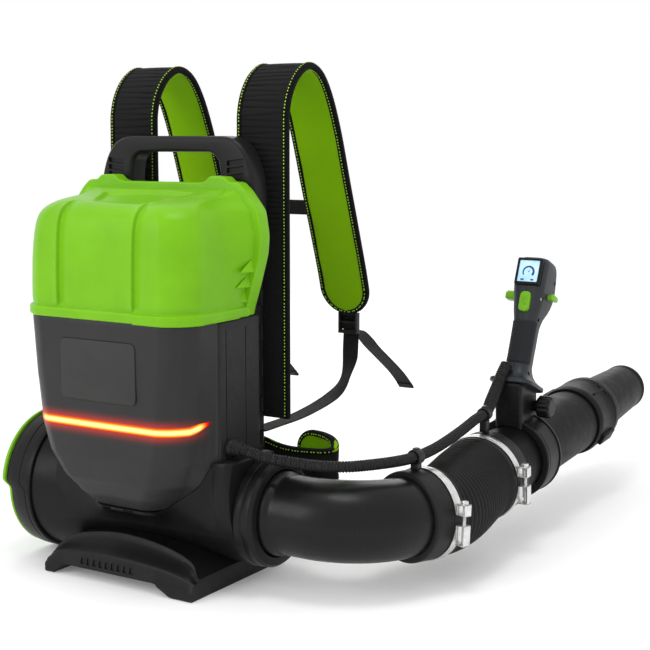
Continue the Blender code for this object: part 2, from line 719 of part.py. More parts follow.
BELT_LINE = ((0.064, 0.0675), (0.100, 0.0790), (0.145, 0.0900), (0.170, 0.0980), (0.180, 0.1140),
             (0.170, 0.1310), (0.144, 0.1420), (0.108, 0.1440))
BELT_LOW, BELT_HIGH = 0.120, 0.168


def waist_belts():
    for name, side in (("right", 1), ("left", -1)):
        line = [Vector((side * x, y)) for x, y in BELT_LINE]
        line = [point.to_2d() for point in smooth_line([(*point, 0) for point in line], 0.018)]
        outline = band_outline(line, -0.010 if side > 0 else 0.010)
        item = plate("waist_belt_" + name, outline, BELT_HIGH - BELT_LOW,
                     Matrix.Translation((0, 0, (BELT_LOW + BELT_HIGH) / 2)))
        finish(item, "strap_black")


# ---- hose line ---------------------------------------------------------------------------------
def elbow_path(start, extra):
    turns = 8
    path = [Vector((start, 0, FAN_Z))]
    path += [elbow_point(ELBOW_TURN * step / turns) for step in range(turns + 1)]
    return path + [ELBOW_END + ELBOW_OUT * extra]


def elbow_tube():
    start = FAN_RIGHT + 0.0010
    steps = ((start, 0.058), (start + 0.0043, 0.058), (start + 0.0044, TUBE_R + 0.003),
             (start + 0.0310, TUBE_R + 0.003))
    path = [Vector((x, 0, FAN_Z)) for x, _ in steps] + elbow_path(start + 0.0312, 0.050)
    radii = [radius / TUBE_R for _, radius in steps] + [1.0] * (len(path) - len(steps))
    item = tube("elbow_tube", path, TUBE_R, 26, radii)
    cut(item, tube("elbow_bore", elbow_path(0.1300, 0.060), TUBE_R - TUBE_WALL, 26))
    finish(item, "tube_black")


def hose_cuffs():
    profile = [(CUFF_R - 0.002, 0.056), (CUFF_R, 0.053), (CUFF_R, 0.010), (CUFF_R - 0.003, 0.006),
               (TUBE_R + GAP, 0.006), (TUBE_R + GAP, 0.056)]
    finish(turned("hose_cuff_rear", profile, HOSE_REAR), "rubber_black")
    profile = [(CUFF_R - 0.003, 0.034), (CUFF_R, 0.030), (CUFF_R, -0.011), (CUFF_R - 0.002, -0.014),
               (MID_R + GAP, -0.014), (MID_R + GAP, 0.034)]
    finish(turned("hose_cuff_front", profile, LINE), "rubber_black")


def hose_clamp(name, frame, middle):
    """A steel band round a cuff, with two lugs on its right side and a bolt through them."""
    low, high = middle - 0.006, middle + 0.006
    inner = CUFF_R + GAP
    band = ring("clamp_band_" + name, inner, inner + 0.0012, low, high, frame)
    slit = box("clamp_slit_" + name, (0.050, -0.010, low - 0.01), (0.075, 0.002, high + 0.01))
    cut(band, place(slit, frame))
    for part, near, far in (("upper", -0.024, -0.0095), ("lower", 0.0015, 0.027)):
        lug = box(f"clamp_lug_{part}_{name}", (inner - 0.0003, near, low), (inner + 0.0135, far, high))
        join(band, place(lug, frame))
    cut(band, turned("clamp_seat_" + name, [(0, high + 0.01), (inner, high + 0.01),
                                            (inner, low - 0.01), (0, low - 0.01)], frame, closed=False))
    bolt_x = inner + 0.008
    bore = rod("clamp_bore_" + name, (bolt_x, -0.05, middle), (bolt_x, 0.05, middle), 0.0028, 12)
    cut(band, place(bore, frame))
    finish(band, "clamp_steel")
    bolt = rod("clamp_bolt_" + name, (bolt_x, -0.0285, middle), (bolt_x, 0.0285, middle), 0.0025, 12)
    finish(place(bolt, frame), "clamp_steel")


def hose_bellows():
    start = ELBOW_END + ELBOW_OUT * (0.059 + GAP)
    end = LINE_START - LINE_OUT * (0.017 + GAP)
    reach = (end - start).length
    count = 2 * RIDGES + 3
    valley = BELLOWS_VALLEY / BELLOWS_R
    path, radii = [start - ELBOW_OUT * 0.003], [valley]
    for step in range(count):
        t = step / (count - 1)
        ease = 3 * t ** 2 - 2 * t ** 3
        path.append(start * (1 - ease) + end * ease
                    + ELBOW_OUT * reach * (t - 2 * t ** 2 + t ** 3)
                    + LINE_OUT * reach * (t ** 3 - t ** 2))
        ridge = step % 2 == 0 and 0 < step < count - 1
        radii.append(1.0 if ridge else valley)
    path.append(end + LINE_OUT * 0.003)
    radii.append(valley)
    item = tube("hose_bellows", path, BELLOWS_R, 20, radii)
    bore = [start - ELBOW_OUT * 0.01, *path[1:-1:4], end + LINE_OUT * 0.01]
    cut(item, tube("bellows_bore", bore, BELLOWS_BORE, 20))
    finish(item, "rubber_black")


def blower_tube():
    profile = [(MID_R, MID_END - GAP), (MID_R, 0.0020), (MID_R - 0.0028, 0.0020),
               (MID_R - 0.0028, MID_END - GAP)]
    finish(turned("middle_tube", profile, LINE), "tube_black")
    profile = [(NOZZLE_R + 0.0015, 0.392), (0.0515, 0.385), (0.0530, 0.378), (0.0530, 0.312),
               (0.0515, 0.305), (MID_R + ROUND_GAP, 0.305), (MID_R + ROUND_GAP, MID_END + 0.0005),
               (NOZZLE_R + GAP, MID_END + 0.0005), (NOZZLE_R + GAP, 0.392)]
    collar = turned("twist_collar", profile, LINE)
    for side in (0, 1):
        lug = box(f"collar_lug_{side}", (0.0500, -0.009, 0.318), (0.0575, 0.009, 0.362), 0.002, 1)
        join(collar, place(lug, LINE @ Matrix.Rotation(math.pi * side + 0.5, 4, "Z")))
    finish(collar, "tube_black")
    profile = [(NOZZLE_TIP_R, NOZZLE_END), (NOZZLE_R, 0.394), (NOZZLE_R, MID_END + 0.001),
               (NOZZLE_R - NOZZLE_WALL, MID_END + 0.001), (NOZZLE_R - NOZZLE_WALL, 0.394),
               (NOZZLE_TIP_R - NOZZLE_WALL, NOZZLE_END)]
    finish(turned("nozzle", profile, LINE), "tube_black")


# ---- throttle handle ---------------------------------------------------------------------------
GRIP_SECTIONS = ((0.000, 0.0260, -0.0240, 0.0300), (0.005, 0.0260, -0.0240, 0.0300),
                 (0.014, 0.0185, -0.0175, 0.0200), (0.028, 0.0165, -0.0165, 0.0175),
                 (0.086, 0.0165, -0.0165, 0.0175), (0.100, 0.0185, -0.0180, 0.0200),
                 (0.112, 0.0205, -0.0190, 0.0280), (0.128, 0.0225, -0.0210, 0.0340),
                 (0.142, 0.0235, -0.0240, 0.0340), (0.172, 0.0235, -0.0240, 0.0280),
                 (0.182, 0.0210, -0.0215, 0.0220))


def grip_form(name, shrink):
    sections = []
    for index, (z, half, back, front) in enumerate(GRIP_SECTIONS):
        if shrink and index in (0, len(GRIP_SECTIONS) - 1):
            z += GRIP_WALL if index == 0 else -GRIP_WALL
        radius = min(half, 0.011) - shrink
        sections.append(rounded_section(half - shrink, back + shrink, front - shrink,
                                        radius, radius, z, 2))
    return loft(name, sections)


def grip_halves():
    for name, side in (("left", -1), ("right", 1)):
        item = place(grip_form("grip_" + name, 0), GRIP)
        half = mirrored(-side, -GAP / 2, 0.05)
        cut(item, place(grip_form("grip_hollow_" + name, GRIP_WALL), GRIP))
        cut(item, place(box("grip_split_" + name, (half[0], -0.1, -0.1), (half[1], 0.1, 0.3)), GRIP))
        trigger_slot = box("trigger_slot_" + name, (-0.0065, 0.009, 0.062), (0.0065, 0.05, 0.1065))
        button_hole = box("button_hole_" + name, (-0.0063, -0.05, 0.1057), (0.0063, -0.010, 0.1303))
        screen_seat = box("screen_seat_" + name, (-0.0193, -0.05, 0.1397), (0.0193, -0.0197, 0.1798))
        lever_bore = rod("lever_bore_" + name, (-0.05, LEVER_Y, LEVER_Z), (0.05, LEVER_Y, LEVER_Z),
                         0.0043, 16)
        for cutter in (trigger_slot, button_hole, screen_seat, lever_bore):
            cut(item, place(cutter, GRIP))
        finish(item, "housing_grey")


def display():
    bezel = box("display_bezel", (-0.0190, -0.0275, 0.1400), (0.0190, -0.0200, 0.1795), 0.0025)
    cut(bezel, place(box("lens_seat", (-0.0153, -0.05, 0.1442), (0.0153, -0.0250, 0.1758)), GRIP))
    finish(place(bezel, GRIP), "fan_black")
    lens = box("display_lens", (-0.0150, -0.0268, 0.1445), (0.0150, -0.0253, 0.1755))
    finish(place(lens, GRIP), "display_glass")


def moving_on_grip(item, pivot):
    """Gives a grip piece its origin on its joint axis."""
    item.data.transform(Matrix.Translation(-Vector(pivot)))
    return place(item, GRIP @ Matrix.Translation(pivot))


def grip_controls():
    outline = [(TRIGGER_Y + 0.004, TRIGGER_Z + 0.005), (TRIGGER_Y - 0.003, TRIGGER_Z + 0.004),
               (TRIGGER_Y - 0.001, TRIGGER_Z - 0.006), (0.0140, 0.070), (0.0190, 0.0660),
               (0.0270, 0.0650), (0.0250, 0.0740), (0.0250, 0.0860), (0.0240, 0.0980)]
    trigger = plate("trigger", outline, 0.012, SIDE_PLANE)
    trigger.data.transform(trigger.matrix_world)
    trigger.matrix_world = Matrix.Identity(4)
    finish(moving_on_grip(trigger, (0, TRIGGER_Y, TRIGGER_Z)), "lever_green")
    button = box("thumb_button", (-0.0060, -0.0240, 0.1060), (0.0060, -0.0140, 0.1300), 0.0030, 2)
    finish(moving_on_grip(button, (0, -0.0220, 0.1180)), "lever_green")
    pivot = (0, LEVER_Y, LEVER_Z)
    lever = rod("cruise_lever", (-0.030, LEVER_Y, LEVER_Z), (0.030, LEVER_Y, LEVER_Z), 0.0040, 16)
    paddle = box("lever_paddle", (-0.042, LEVER_Y - 0.004, 0.1270), (-0.0265, LEVER_Y + 0.016, 0.1370),
                 0.003, 1)
    stub = box("lever_stub", (0.0265, LEVER_Y - 0.005, 0.1270), (0.0320, LEVER_Y + 0.014, 0.1370),
               0.002, 1)
    for extra in (paddle, stub):
        extra.data.transform(Matrix.Translation(-Vector(pivot)))
        place(extra, GRIP @ Matrix.Translation(pivot))
        join(lever, extra)
    finish(moving_on_grip(lever, pivot), "lever_green")


def handle_clamp():
    item = box("handle_clamp", (-0.020, -0.110, 0.0885), (0.020, -0.030, 0.144), 0.003, 1)
    place(item, LINE)
    join(item, ring("clamp_ring", 0.0400, 0.0575, 0.094, 0.142, LINE))
    above = box("above_clamp", (-0.1, -0.1, -GAP), (0.1, 0.1, 0.2))
    bore = rod("clamp_bore", (0, 0, 0), (0, 0, 0.2), MID_R + ROUND_GAP, ROUND)
    stud_hole = rod("stud_hole", KNOB - Vector((0.0125, 0, 0)), KNOB + Vector((0.01, 0, 0)), 0.0035, 16)
    cut(item, place(above, GRIP), place(bore, LINE), stud_hole)
    finish(item, "fan_black")


def clamp_knob():
    axis = Matrix.Translation(KNOB) @ Matrix.Rotation(math.pi / 2, 4, "Y")
    profile = [(0, 0.0250), (0.0130, 0.0250), (0.0155, 0.0225), (0.0155, 0.0060), (0.0080, 0.0050),
               (0.0080, 0.0003), (0.0032, 0.0003), (0.0032, -0.0120), (0, -0.0120)]
    item = turned("clamp_knob", profile, axis, 18, closed=False)
    for index in range(5):
        angle = 2 * math.pi * index / 5
        groove = rod(f"knob_groove_{index}", (0.0180 * math.cos(angle), 0.0180 * math.sin(angle), 0.004),
                     (0.0180 * math.cos(angle), 0.0180 * math.sin(angle), 0.030), 0.0045, 8)
        cut(item, place(groove, axis))
    finish(item, "fan_black")


# ---- control cable -----------------------------------------------------------------------------
CABLE_REAR = ((0.1325, -0.0450, 0.1780), (0.1430, -0.0450, 0.1778), (0.1700, -0.0370, 0.1700),
              (0.2000, -0.0260, 0.1655), (0.2370, -0.0180, 0.1640), (0.2660, 0.0020, 0.1630),
              (0.2890, 0.0400, 0.1620), (0.3010, 0.0700, 0.1615))
CABLE_MIDDLE = ((0.3070, 0.1180, 0.1620), (0.3065, 0.1580, 0.1640), (0.3060, 0.2140, 0.1710),
                (0.3045, 0.2600, 0.1780))
CABLE_FRONT = ((0.3010, 0.3060, 0.1825), (0.2985, 0.3200, 0.1910))
CABLE_ON_GRIP = ((-0.0100, -0.0385, -0.0120), (-0.0098, -0.0325, 0.0030), (-0.0090, -0.0295, 0.0125),
                 (-0.0080, -0.0248, 0.0235))     # in the grip's frame
CABLE_END_GAP = 0.001


def trimmed(line, start, end):
    """A line without its first and last stretch of those lengths."""
    line = [Vector(point) for point in line]
    line[0] += (line[1] - line[0]).normalized() * start
    line[-1] += (line[-2] - line[-1]).normalized() * end
    return line


def control_cable():
    on_grip = [GRIP @ Vector(point) for point in CABLE_ON_GRIP]
    routes = (("control_cable_rear", (*CABLE_REAR, CLIP_REAR)),
              ("control_cable_middle", (CLIP_REAR, *CABLE_MIDDLE, CLIP_FRONT)),
              ("control_cable_front", (CLIP_FRONT, *CABLE_FRONT, *on_grip)))
    for name, route in routes:
        line = trimmed(smooth_line(route, 0.018), CABLE_END_GAP, CABLE_END_GAP)
        finish(tube(name, line, CABLE_R, 8), "cable_black")


def cable_clip(name, middle, direction, seat_z):
    """A clip that holds the cable above a cuff, with a foot that stands on it."""
    along = direction.normalized() * 0.006
    item = rod(name, middle - along, middle + along, CABLE_R + 0.0030, 16)
    foot = box(name + "_foot", (middle.x - 0.005, middle.y - 0.005, seat_z),
               (middle.x + 0.005, middle.y + 0.005, middle.z - 0.004))
    join(item, foot)
    cut(item, rod(name + "_bore", middle - 3 * along, middle + 3 * along, CABLE_R + 0.0006, 16))
    finish(item, "buckle_black")


def cable_clips():
    cable_clip("cable_clip_rear", CLIP_REAR, Vector((0.006, 0.048, 0.0005)), 0.1450)
    cable_clip("cable_clip_front", CLIP_FRONT, Vector((-0.0035, 0.052, 0.0055)), 0.1555)


def pivot(name, location, members, parent=None):
    """An empty on a joint's axis that carries the pieces turning or sliding there."""
    empty = bpy.data.objects.new(name, None)
    empty.empty_display_size = 0.02
    PARTS.objects.link(empty)
    empty.location = location
    if parent:
        empty.parent = parent
        empty.matrix_parent_inverse = Matrix.Translation(parent["at"]).inverted()
    empty["at"] = tuple(location)
    for member in members:
        item = bpy.data.objects[member]
        item.parent = empty
        item.matrix_parent_inverse = Matrix.Translation(location).inverted()
    return empty


def pivots():
    pivot("fan_pivot", (0, 0, FAN_Z), ("impeller", "motor_rotor", "motor_shaft"))
    elbow = pivot("elbow_pivot", (FAN_RIGHT, 0, FAN_Z), (
        "elbow_tube", "hose_cuff_rear", "clamp_band_rear", "clamp_bolt_rear", "hose_bellows",
        "cable_clip_rear", "control_cable_middle"))
    hose = pivot("hose_pivot", HOSE_PIVOT, (
        "hose_cuff_front", "clamp_band_front", "clamp_bolt_front", "middle_tube",
        "cable_clip_front", "control_cable_front"), elbow)
    pivot("nozzle_pivot", LINE @ Vector((0, 0, MID_END)), ("twist_collar", "nozzle"), hose)
    handle = pivot("handle_pivot", LINE @ Vector((0, 0, 0.115)), (
        "handle_clamp", "grip_left", "grip_right", "display_bezel", "display_lens"), hose)
    pivot("knob_pivot", KNOB, ("clamp_knob",), handle)
    pivot("trigger_pivot", GRIP @ Vector((0, TRIGGER_Y, TRIGGER_Z)), ("trigger",), handle)
    pivot("lever_pivot", GRIP @ Vector((0, LEVER_Y, LEVER_Z)), ("cruise_lever",), handle)
    pivot("button_pivot", GRIP @ Vector((0, -0.0220, 0.1180)), ("thumb_button",), handle)


def build():
    fan_housing()
    intake_rim()
    intake_grille()
    outlet_ring()
    impeller()
    motor()
    rear_housing()
    rear_panel()
    light_strip()
    front_housing()
    cable_gland()
    top_cover()
    carry_handle()
    back_frame()
    back_pad()
    base_foot()
    battery_packs()
    electronics()
    shoulder_straps()
    sternum_strap()
    waist_belts()
    elbow_tube()
    hose_cuffs()
    hose_clamp("rear", HOSE_REAR, 0.042)
    hose_clamp("front", LINE, 0.000)
    hose_bellows()
    blower_tube()
    grip_halves()
    display()
    grip_controls()
    handle_clamp()
    clamp_knob()
    control_cable()
    cable_clips()
    pivots()


build()
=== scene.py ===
"""Looks of the backpack leaf blower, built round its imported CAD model."""
import math
import random

import bmesh
import bpy
from mathutils import Matrix, Vector


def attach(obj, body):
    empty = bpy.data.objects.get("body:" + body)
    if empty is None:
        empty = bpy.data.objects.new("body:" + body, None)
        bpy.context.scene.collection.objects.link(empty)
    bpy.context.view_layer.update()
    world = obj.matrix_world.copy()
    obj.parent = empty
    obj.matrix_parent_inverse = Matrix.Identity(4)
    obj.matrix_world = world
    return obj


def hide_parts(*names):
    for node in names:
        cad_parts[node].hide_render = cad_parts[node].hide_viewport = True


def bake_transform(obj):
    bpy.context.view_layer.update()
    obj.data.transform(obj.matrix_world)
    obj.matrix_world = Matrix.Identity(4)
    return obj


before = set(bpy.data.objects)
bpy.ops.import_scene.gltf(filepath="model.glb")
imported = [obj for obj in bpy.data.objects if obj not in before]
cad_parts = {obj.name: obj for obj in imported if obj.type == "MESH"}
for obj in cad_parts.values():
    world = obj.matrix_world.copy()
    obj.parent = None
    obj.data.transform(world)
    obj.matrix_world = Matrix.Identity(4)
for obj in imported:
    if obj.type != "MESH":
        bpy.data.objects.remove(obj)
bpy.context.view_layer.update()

# ---- dimensions shared with the CAD model, in metres -------------------------------------------
GAP = 0.0003                    # clearance between pieces that touch
FAN_Z, FAN_LEFT, FAN_RIGHT = 0.093, -0.203, 0.146
BODY_SPLIT, BODY_FRONT, LIGHT_Z = -0.066, 0.020, 0.207
TUBE_R, ELBOW_X, BEND_R = 0.049, 0.209, 0.092
TURN, DROOP, PITCH = math.radians(76), math.radians(-3.2), math.radians(4)
MID_R, MID_END, NOZZLE_END = 0.048, 0.344, 0.546
LINE_START = Vector((0.307, 0.274, 0.097))
GRIP_BASE, GRIP_LEAN = Vector((0.307, 0.382, 0.204)), math.radians(22.5)
KNOB = Vector((0.3273, 0.405, 0.1745))
FAN_AXIS = Matrix.Translation((0, 0, FAN_Z)) @ Matrix.Rotation(math.pi / 2, 4, "Y")
LINE = Matrix.Translation(LINE_START) @ Matrix.Rotation(PITCH - math.pi / 2, 4, "X")
GRIP = Matrix.Translation(GRIP_BASE) @ Matrix.Rotation(-GRIP_LEAN, 4, "X")
SIDE_PLANE = Matrix(((0, 0, 1, 0), (1, 0, 0, 0), (0, 1, 0, 0), (0, 0, 0, 1)))
FRONT_PLANE = Matrix.Rotation(math.pi / 2, 4, "X")


def mm(*rows):
    """Rows of millimetres, as rows of metres."""
    return [tuple(value / 1000 for value in row) for row in rows]


# ---- camera, light and floor -------------------------------------------------------------------
CAMERA_AT, CAMERA_WAY = (1.078, -1.352, 0.55), Vector((-0.5249, 0.8400, -0.1371))
# each light's name, place, aim, size and power
LIGHTS = (("key", (-1.1, -2.5, 1.5), (0.0, 0.0, 0.3), 1.5, 26),
          ("top", (0.35, -0.25, 2.1), (0.15, 0.1, 0.1), 0.55, 9),
          ("front", (-0.9, 2.6, 1.3), (0.1, 0.1, 0.3), 1.5, 8))


def stage():
    camera = bpy.data.objects.new("camera", bpy.data.cameras.new("camera"))
    bpy.context.scene.collection.objects.link(camera)
    camera.location = CAMERA_AT
    camera.rotation_mode = "QUATERNION"
    camera.rotation_quaternion = CAMERA_WAY.to_track_quat("-Z", "Y")
    camera.data.lens, camera.data.sensor_width = 76, 36
    camera.data.clip_start, camera.data.clip_end = 0.05, 30
    bpy.context.scene.camera = camera
    bpy.context.scene.view_settings.view_transform = "Standard"

    mesh = bpy.data.meshes.new("floor")
    bm = bmesh.new()
    bmesh.ops.create_grid(bm, x_segments=1, y_segments=1, size=6)
    bm.to_mesh(mesh)
    floor = bpy.data.objects.new("floor", mesh)
    bpy.context.scene.collection.objects.link(floor)
    floor.location.z = -0.0005
    paper = bpy.data.materials.new("paper")
    paper.use_nodes = True
    shader = paper.node_tree.nodes["Principled BSDF"]
    shader.inputs["Base Color"].default_value = (0.90, 0.90, 0.90, 1)
    shader.inputs["Roughness"].default_value = 0.9
    shader.inputs["Emission Color"].default_value = (1, 1, 1, 1)
    shader.inputs["Emission Strength"].default_value = 0.12
    mesh.materials.append(paper)

    world = bpy.data.worlds.new("studio")
    bpy.context.scene.world = world
    world.use_nodes = True
    world.node_tree.nodes["Background"].inputs["Color"].default_value = (1, 1, 1, 1)
    world.node_tree.nodes["Background"].inputs["Strength"].default_value = 1.0

    for name, at, aim, size, power in LIGHTS:
        light = bpy.data.objects.new(name, bpy.data.lights.new(name, "AREA"))
        bpy.context.scene.collection.objects.link(light)
        light.location = at
        light.rotation_mode = "QUATERNION"
        light.rotation_quaternion = (Vector(aim) - Vector(at)).to_track_quat("-Z", "Y")
        light.data.size, light.data.energy = size, power


# ---- materials ---------------------------------------------------------------------------------
class Graph:
    """A material's nodes, made one by one."""

    def __init__(self, name):
        self.material = bpy.data.materials.new(name)
        self.material.use_nodes = True
        self.tree = self.material.node_tree
        self.shader = self.tree.nodes["Principled BSDF"]

    def node(self, kind, links=(), **values):
        made = self.tree.nodes.new("ShaderNode" + kind)
        for key, value in values.items():
            if key in made.inputs:
                made.inputs[key].default_value = value
            elif key.replace("_", " ") in made.inputs:
                made.inputs[key.replace("_", " ")].default_value = value
            else:
                setattr(made, key, value)
        for socket, source in links:
            self.tree.links.new(source, made.inputs[socket])
        return made

    def link(self, source, socket):
        self.tree.links.new(source, self.shader.inputs[socket])

    def set(self, **values):
        for key, value in values.items():
            self.shader.inputs[key.replace("_", " ")].default_value = value

    def coordinates(self, kind="Object"):
        return self.node("TexCoord").outputs[kind]

    def noise(self, where, scale, detail=2.0, rough=0.5):
        return self.node("TexNoise", [("Vector", where)], Scale=scale, Detail=detail,
            Roughness=rough).outputs["Fac"]

    def ramp(self, source, stops):
        made = self.node("ValToRGB", [("Fac", source)])
        ramp = made.color_ramp
        while len(ramp.elements) < len(stops):
            ramp.elements.new(0.5)
        for element, (at, colour) in zip(ramp.elements, stops):
            element.position = at
            element.color = (*colour, 1) if len(colour) == 3 else colour
        return made.outputs["Color"]

    def spread(self, source, low, high, start=0.0, stop=1.0):
        made = self.node("MapRange", [("Value", source)])
        for key, value in (("From Min", start), ("From Max", stop), ("To Min", low), ("To Max", high)):
            made.inputs[key].default_value = value
        return made.outputs["Result"]

    def mix(self, factor, first, second):
        made = self.node("Mix", data_type="RGBA")
        for index, value in ((0, factor), (6, first), (7, second)):
            if hasattr(value, "is_linked"):
                self.tree.links.new(value, made.inputs[index])
            else:
                made.inputs[index].default_value = (*value, 1) if index else value
        return made.outputs[2]

    def math(self, operation, first, second=0.0, third=0.0):
        made = self.node("Math", operation=operation)
        for index, value in enumerate((first, second, third)):
            if hasattr(value, "is_linked"):
                self.tree.links.new(value, made.inputs[index])
            else:
                made.inputs[index].default_value = value
        return made.outputs[0]

    def bump(self, height, distance):
        return self.node("Bump", [("Height", height)], Distance=distance).outputs["Normal"]


def tint(colour, factor):
    return tuple(min(1.0, c * factor) for c in colour)


def moulded(name, colour, rough, grain=0.00006, pitch=1500, worn=1.35, specular=0.5):
    """Moulded plastic: spark-eroded grain, a faint cloudiness, and edges rubbed lighter."""
    g = Graph(name)
    where = g.coordinates()
    cloud = g.noise(where, 14, 4)
    base = g.ramp(cloud, ((0.30, tint(colour, 0.90)), (0.70, tint(colour, 1.08))))
    edge = g.spread(g.node("NewGeometry").outputs["Pointiness"], 0, 1, 0.515, 0.56)
    scuff = g.math("MULTIPLY", edge, g.spread(g.noise(where, 160, 5, 0.7), 0.1, 0.9, 0.35, 0.65))
    g.link(g.mix(scuff, base, tint(colour, worn)), "Base Color")
    g.link(g.spread(g.noise(where, 60, 6, 0.65), rough - 0.05, rough + 0.07, 0.3, 0.7), "Roughness")
    g.link(g.bump(g.noise(where, pitch, 3, 0.6), grain), "Normal")
    g.set(Specular_IOR_Level=specular)
    return g


def cloth(name, colour, other, pitch, depth=0.0004, turn=45.0):
    """A plain weave laid out by the piece's own length and width, in metres."""
    g = Graph(name)
    place = g.node("Mapping", [("Vector", g.coordinates("UV"))], Rotation=(0, 0, math.radians(turn)))
    waves = [g.node("TexWave", [("Vector", place.outputs["Vector"])], bands_direction=axis,
        Scale=0.314 / pitch, Distortion=0.6).outputs["Fac"] for axis in "XY"]
    weave = g.math("MULTIPLY", *waves)
    fibre = g.noise(g.coordinates(), 900, 4, 0.7)
    tone = g.math("MULTIPLY_ADD", fibre, 0.45, g.math("MULTIPLY", weave, 0.75))
    g.link(g.ramp(tone, ((0.10, other), (0.75, colour))), "Base Color")
    height = g.math("MULTIPLY_ADD", fibre, 0.3, weave)
    g.link(g.bump(height, depth), "Normal")
    g.set(Roughness=0.92, Specular_IOR_Level=0.08, Sheen_Weight=0.036, Sheen_Roughness=0.5)
    return g


def webbing_material(name, colour):
    """Flat nylon webbing: a herringbone of fine slanting ribs."""
    g = Graph(name)
    place = g.coordinates("UV")
    parts = g.node("SeparateXYZ", [("Vector", place)])
    across = g.math("PINGPONG", parts.outputs["Y"], 0.003)
    slant = g.math("ADD", g.math("MULTIPLY", parts.outputs["X"], 2600), g.math("MULTIPLY", across, 2600))
    rib = g.math("SINE", slant)
    fibre = g.noise(g.coordinates(), 1200, 3, 0.7)
    tone = g.math("MULTIPLY_ADD", rib, 0.25, fibre)
    g.link(g.ramp(tone, ((0.25, tint(colour, 0.45)), (0.85, tint(colour, 1.6)))), "Base Color")
    g.link(g.bump(g.math("MULTIPLY_ADD", fibre, 0.4, rib), 0.00025), "Normal")
    g.set(Roughness=0.70, Specular_IOR_Level=0.20, Sheen_Weight=0.03)
    return g


def steel(name, colour, rough=0.32):
    """Rolled steel strip: fine drawn lines and faint stains."""
    g = Graph(name)
    where = g.coordinates()
    drawn = g.node("Mapping", [("Vector", where)], Scale=(40, 900, 900))
    lines = g.noise(drawn.outputs["Vector"], 3, 3, 0.6)
    stain = g.noise(where, 120, 4, 0.6)
    g.link(g.ramp(stain, ((0.3, tint(colour, 0.78)), (0.7, colour))), "Base Color")
    g.link(g.spread(lines, rough - 0.10, rough + 0.16, 0.3, 0.7), "Roughness")
    g.link(g.bump(lines, 0.00003), "Normal")
    g.set(Metallic=1.0)
    return g


def lit_strip(name):
    """The lit lens: white-hot in the middle, orange, then red at its edges and ends."""
    g = Graph(name)
    parts = g.node("SeparateXYZ", [("Vector", g.coordinates())])
    rise = g.math("MULTIPLY", g.spread(parts.outputs["Y"], 0.0, 1.0, -0.1060, -0.0720), 0.0082)
    off = g.math("ABSOLUTE", g.math("SUBTRACT", g.math("SUBTRACT", parts.outputs["Z"], rise), LIGHT_Z))
    middle = g.spread(off, 1.0, 0.0, 0.0014, 0.0050)
    right = g.spread(parts.outputs["Y"], 1.0, 0.0, -0.0930, -0.0790)
    left = g.spread(parts.outputs["X"], 0.0, 1.0, -0.1070, -0.0900)
    ends = g.math("MULTIPLY", right, left)
    heat = g.math("MULTIPLY", g.math("MULTIPLY_ADD", middle, 0.62, 0.38), ends)
    g.link(g.ramp(heat, ((0.0, (0.16, 0.001, 0.001)), (0.28, (0.62, 0.006, 0.002)),
        (0.50, (0.90, 0.130, 0.006)), (0.76, (1.0, 0.52, 0.065)), (1.0, (1.0, 0.84, 0.30)))),
        "Emission Color")
    g.set(Base_Color=(0.03, 0.001, 0.001, 1), Roughness=0.35, Specular_IOR_Level=0.1, Emission_Strength=1.5)
    return g


def glowing_housing(name, colour, rough):
    """Housing plastic with the strip's red light painted on it as a glow, close above and below."""
    g = moulded(name, colour, rough, specular=0.20)
    parts = g.node("SeparateXYZ", [("Vector", g.coordinates())])
    off = g.math("ABSOLUTE", g.math("SUBTRACT", parts.outputs["Z"], LIGHT_Z))
    near = g.math("POWER", g.spread(off, 1.0, 0.0, 0.0045, 0.0200), 2.6)
    ends = g.spread(g.math("ABSOLUTE", parts.outputs["X"]), 1.0, 0.0, 0.095, 0.128)
    rear = g.spread(parts.outputs["Y"], 1.0, 0.0, -0.100, -0.075)
    fade = g.math("MULTIPLY", g.math("MULTIPLY", near, ends), rear)
    # painted light: the strip's red glow is given to the housing as emission
    g.link(g.mix(fade, (0, 0, 0), (0.62, 0.012, 0.003)), "Emission Color")
    g.set(Emission_Strength=1.0)
    return g


def screen(name):
    """A backlit liquid-crystal window, paler towards its lower corner."""
    g = Graph(name)
    where = g.coordinates("UV")
    shade = g.noise(where, 1.3, 1)
    colour = g.ramp(shade, ((0.30, (0.34, 0.60, 0.88)), (0.70, (0.62, 0.84, 1.0))))
    cells = g.math("MULTIPLY", *[g.node("TexWave", [("Vector", where)], bands_direction=axis,
        Scale=26).outputs["Fac"] for axis in "XY"])
    g.link(g.mix(g.math("MULTIPLY", cells, 0.10), colour, (0.25, 0.45, 0.75)), "Base Color")
    g.link(colour, "Emission Color")
    g.set(Roughness=0.12, Emission_Strength=0.30, Coat_Weight=0.3)
    return g


def braid(name, colour):
    """A braided nylon sleeve, with highlights painted on some of its strands."""
    g = Graph(name)
    where = g.coordinates("UV")
    strands = []
    for turn in (38, -38):
        slanted = g.node("Mapping", [("Vector", where)], Rotation=(0, 0, math.radians(turn)))
        strands.append(g.node("TexWave", [("Vector", slanted.outputs["Vector"])], Scale=125,
            Distortion=0.4).outputs["Fac"])
    weave = g.math("MULTIPLY", *strands)
    # painted highlights: where this noise mask is high, strands are lifted up to sixteen times the sleeve's
    # colour
    painted_glint = g.spread(g.noise(g.coordinates(), 420, 4, 0.7), 0.0, 1.0, 0.52, 0.72)
    tone = g.math("MULTIPLY", weave, g.math("MULTIPLY_ADD", painted_glint, 0.75, 0.25))
    g.link(g.ramp(tone, ((0.05, tint(colour, 0.4)), (0.40, tint(colour, 1.3)), (0.95, tint(colour, 16.0)))),
        "Base Color")
    g.link(g.bump(weave, 0.0004), "Normal")
    g.set(Roughness=0.55, Specular_IOR_Level=0.3)
    return g


def plain(name, colour, rough, metal=0.0):
    g = Graph(name)
    speck = g.noise(g.coordinates(), 700, 3)
    g.link(g.ramp(speck, ((0.3, tint(colour, 0.85)), (0.7, tint(colour, 1.1)))), "Base Color")
    g.set(Roughness=rough, Metallic=metal)
    return g


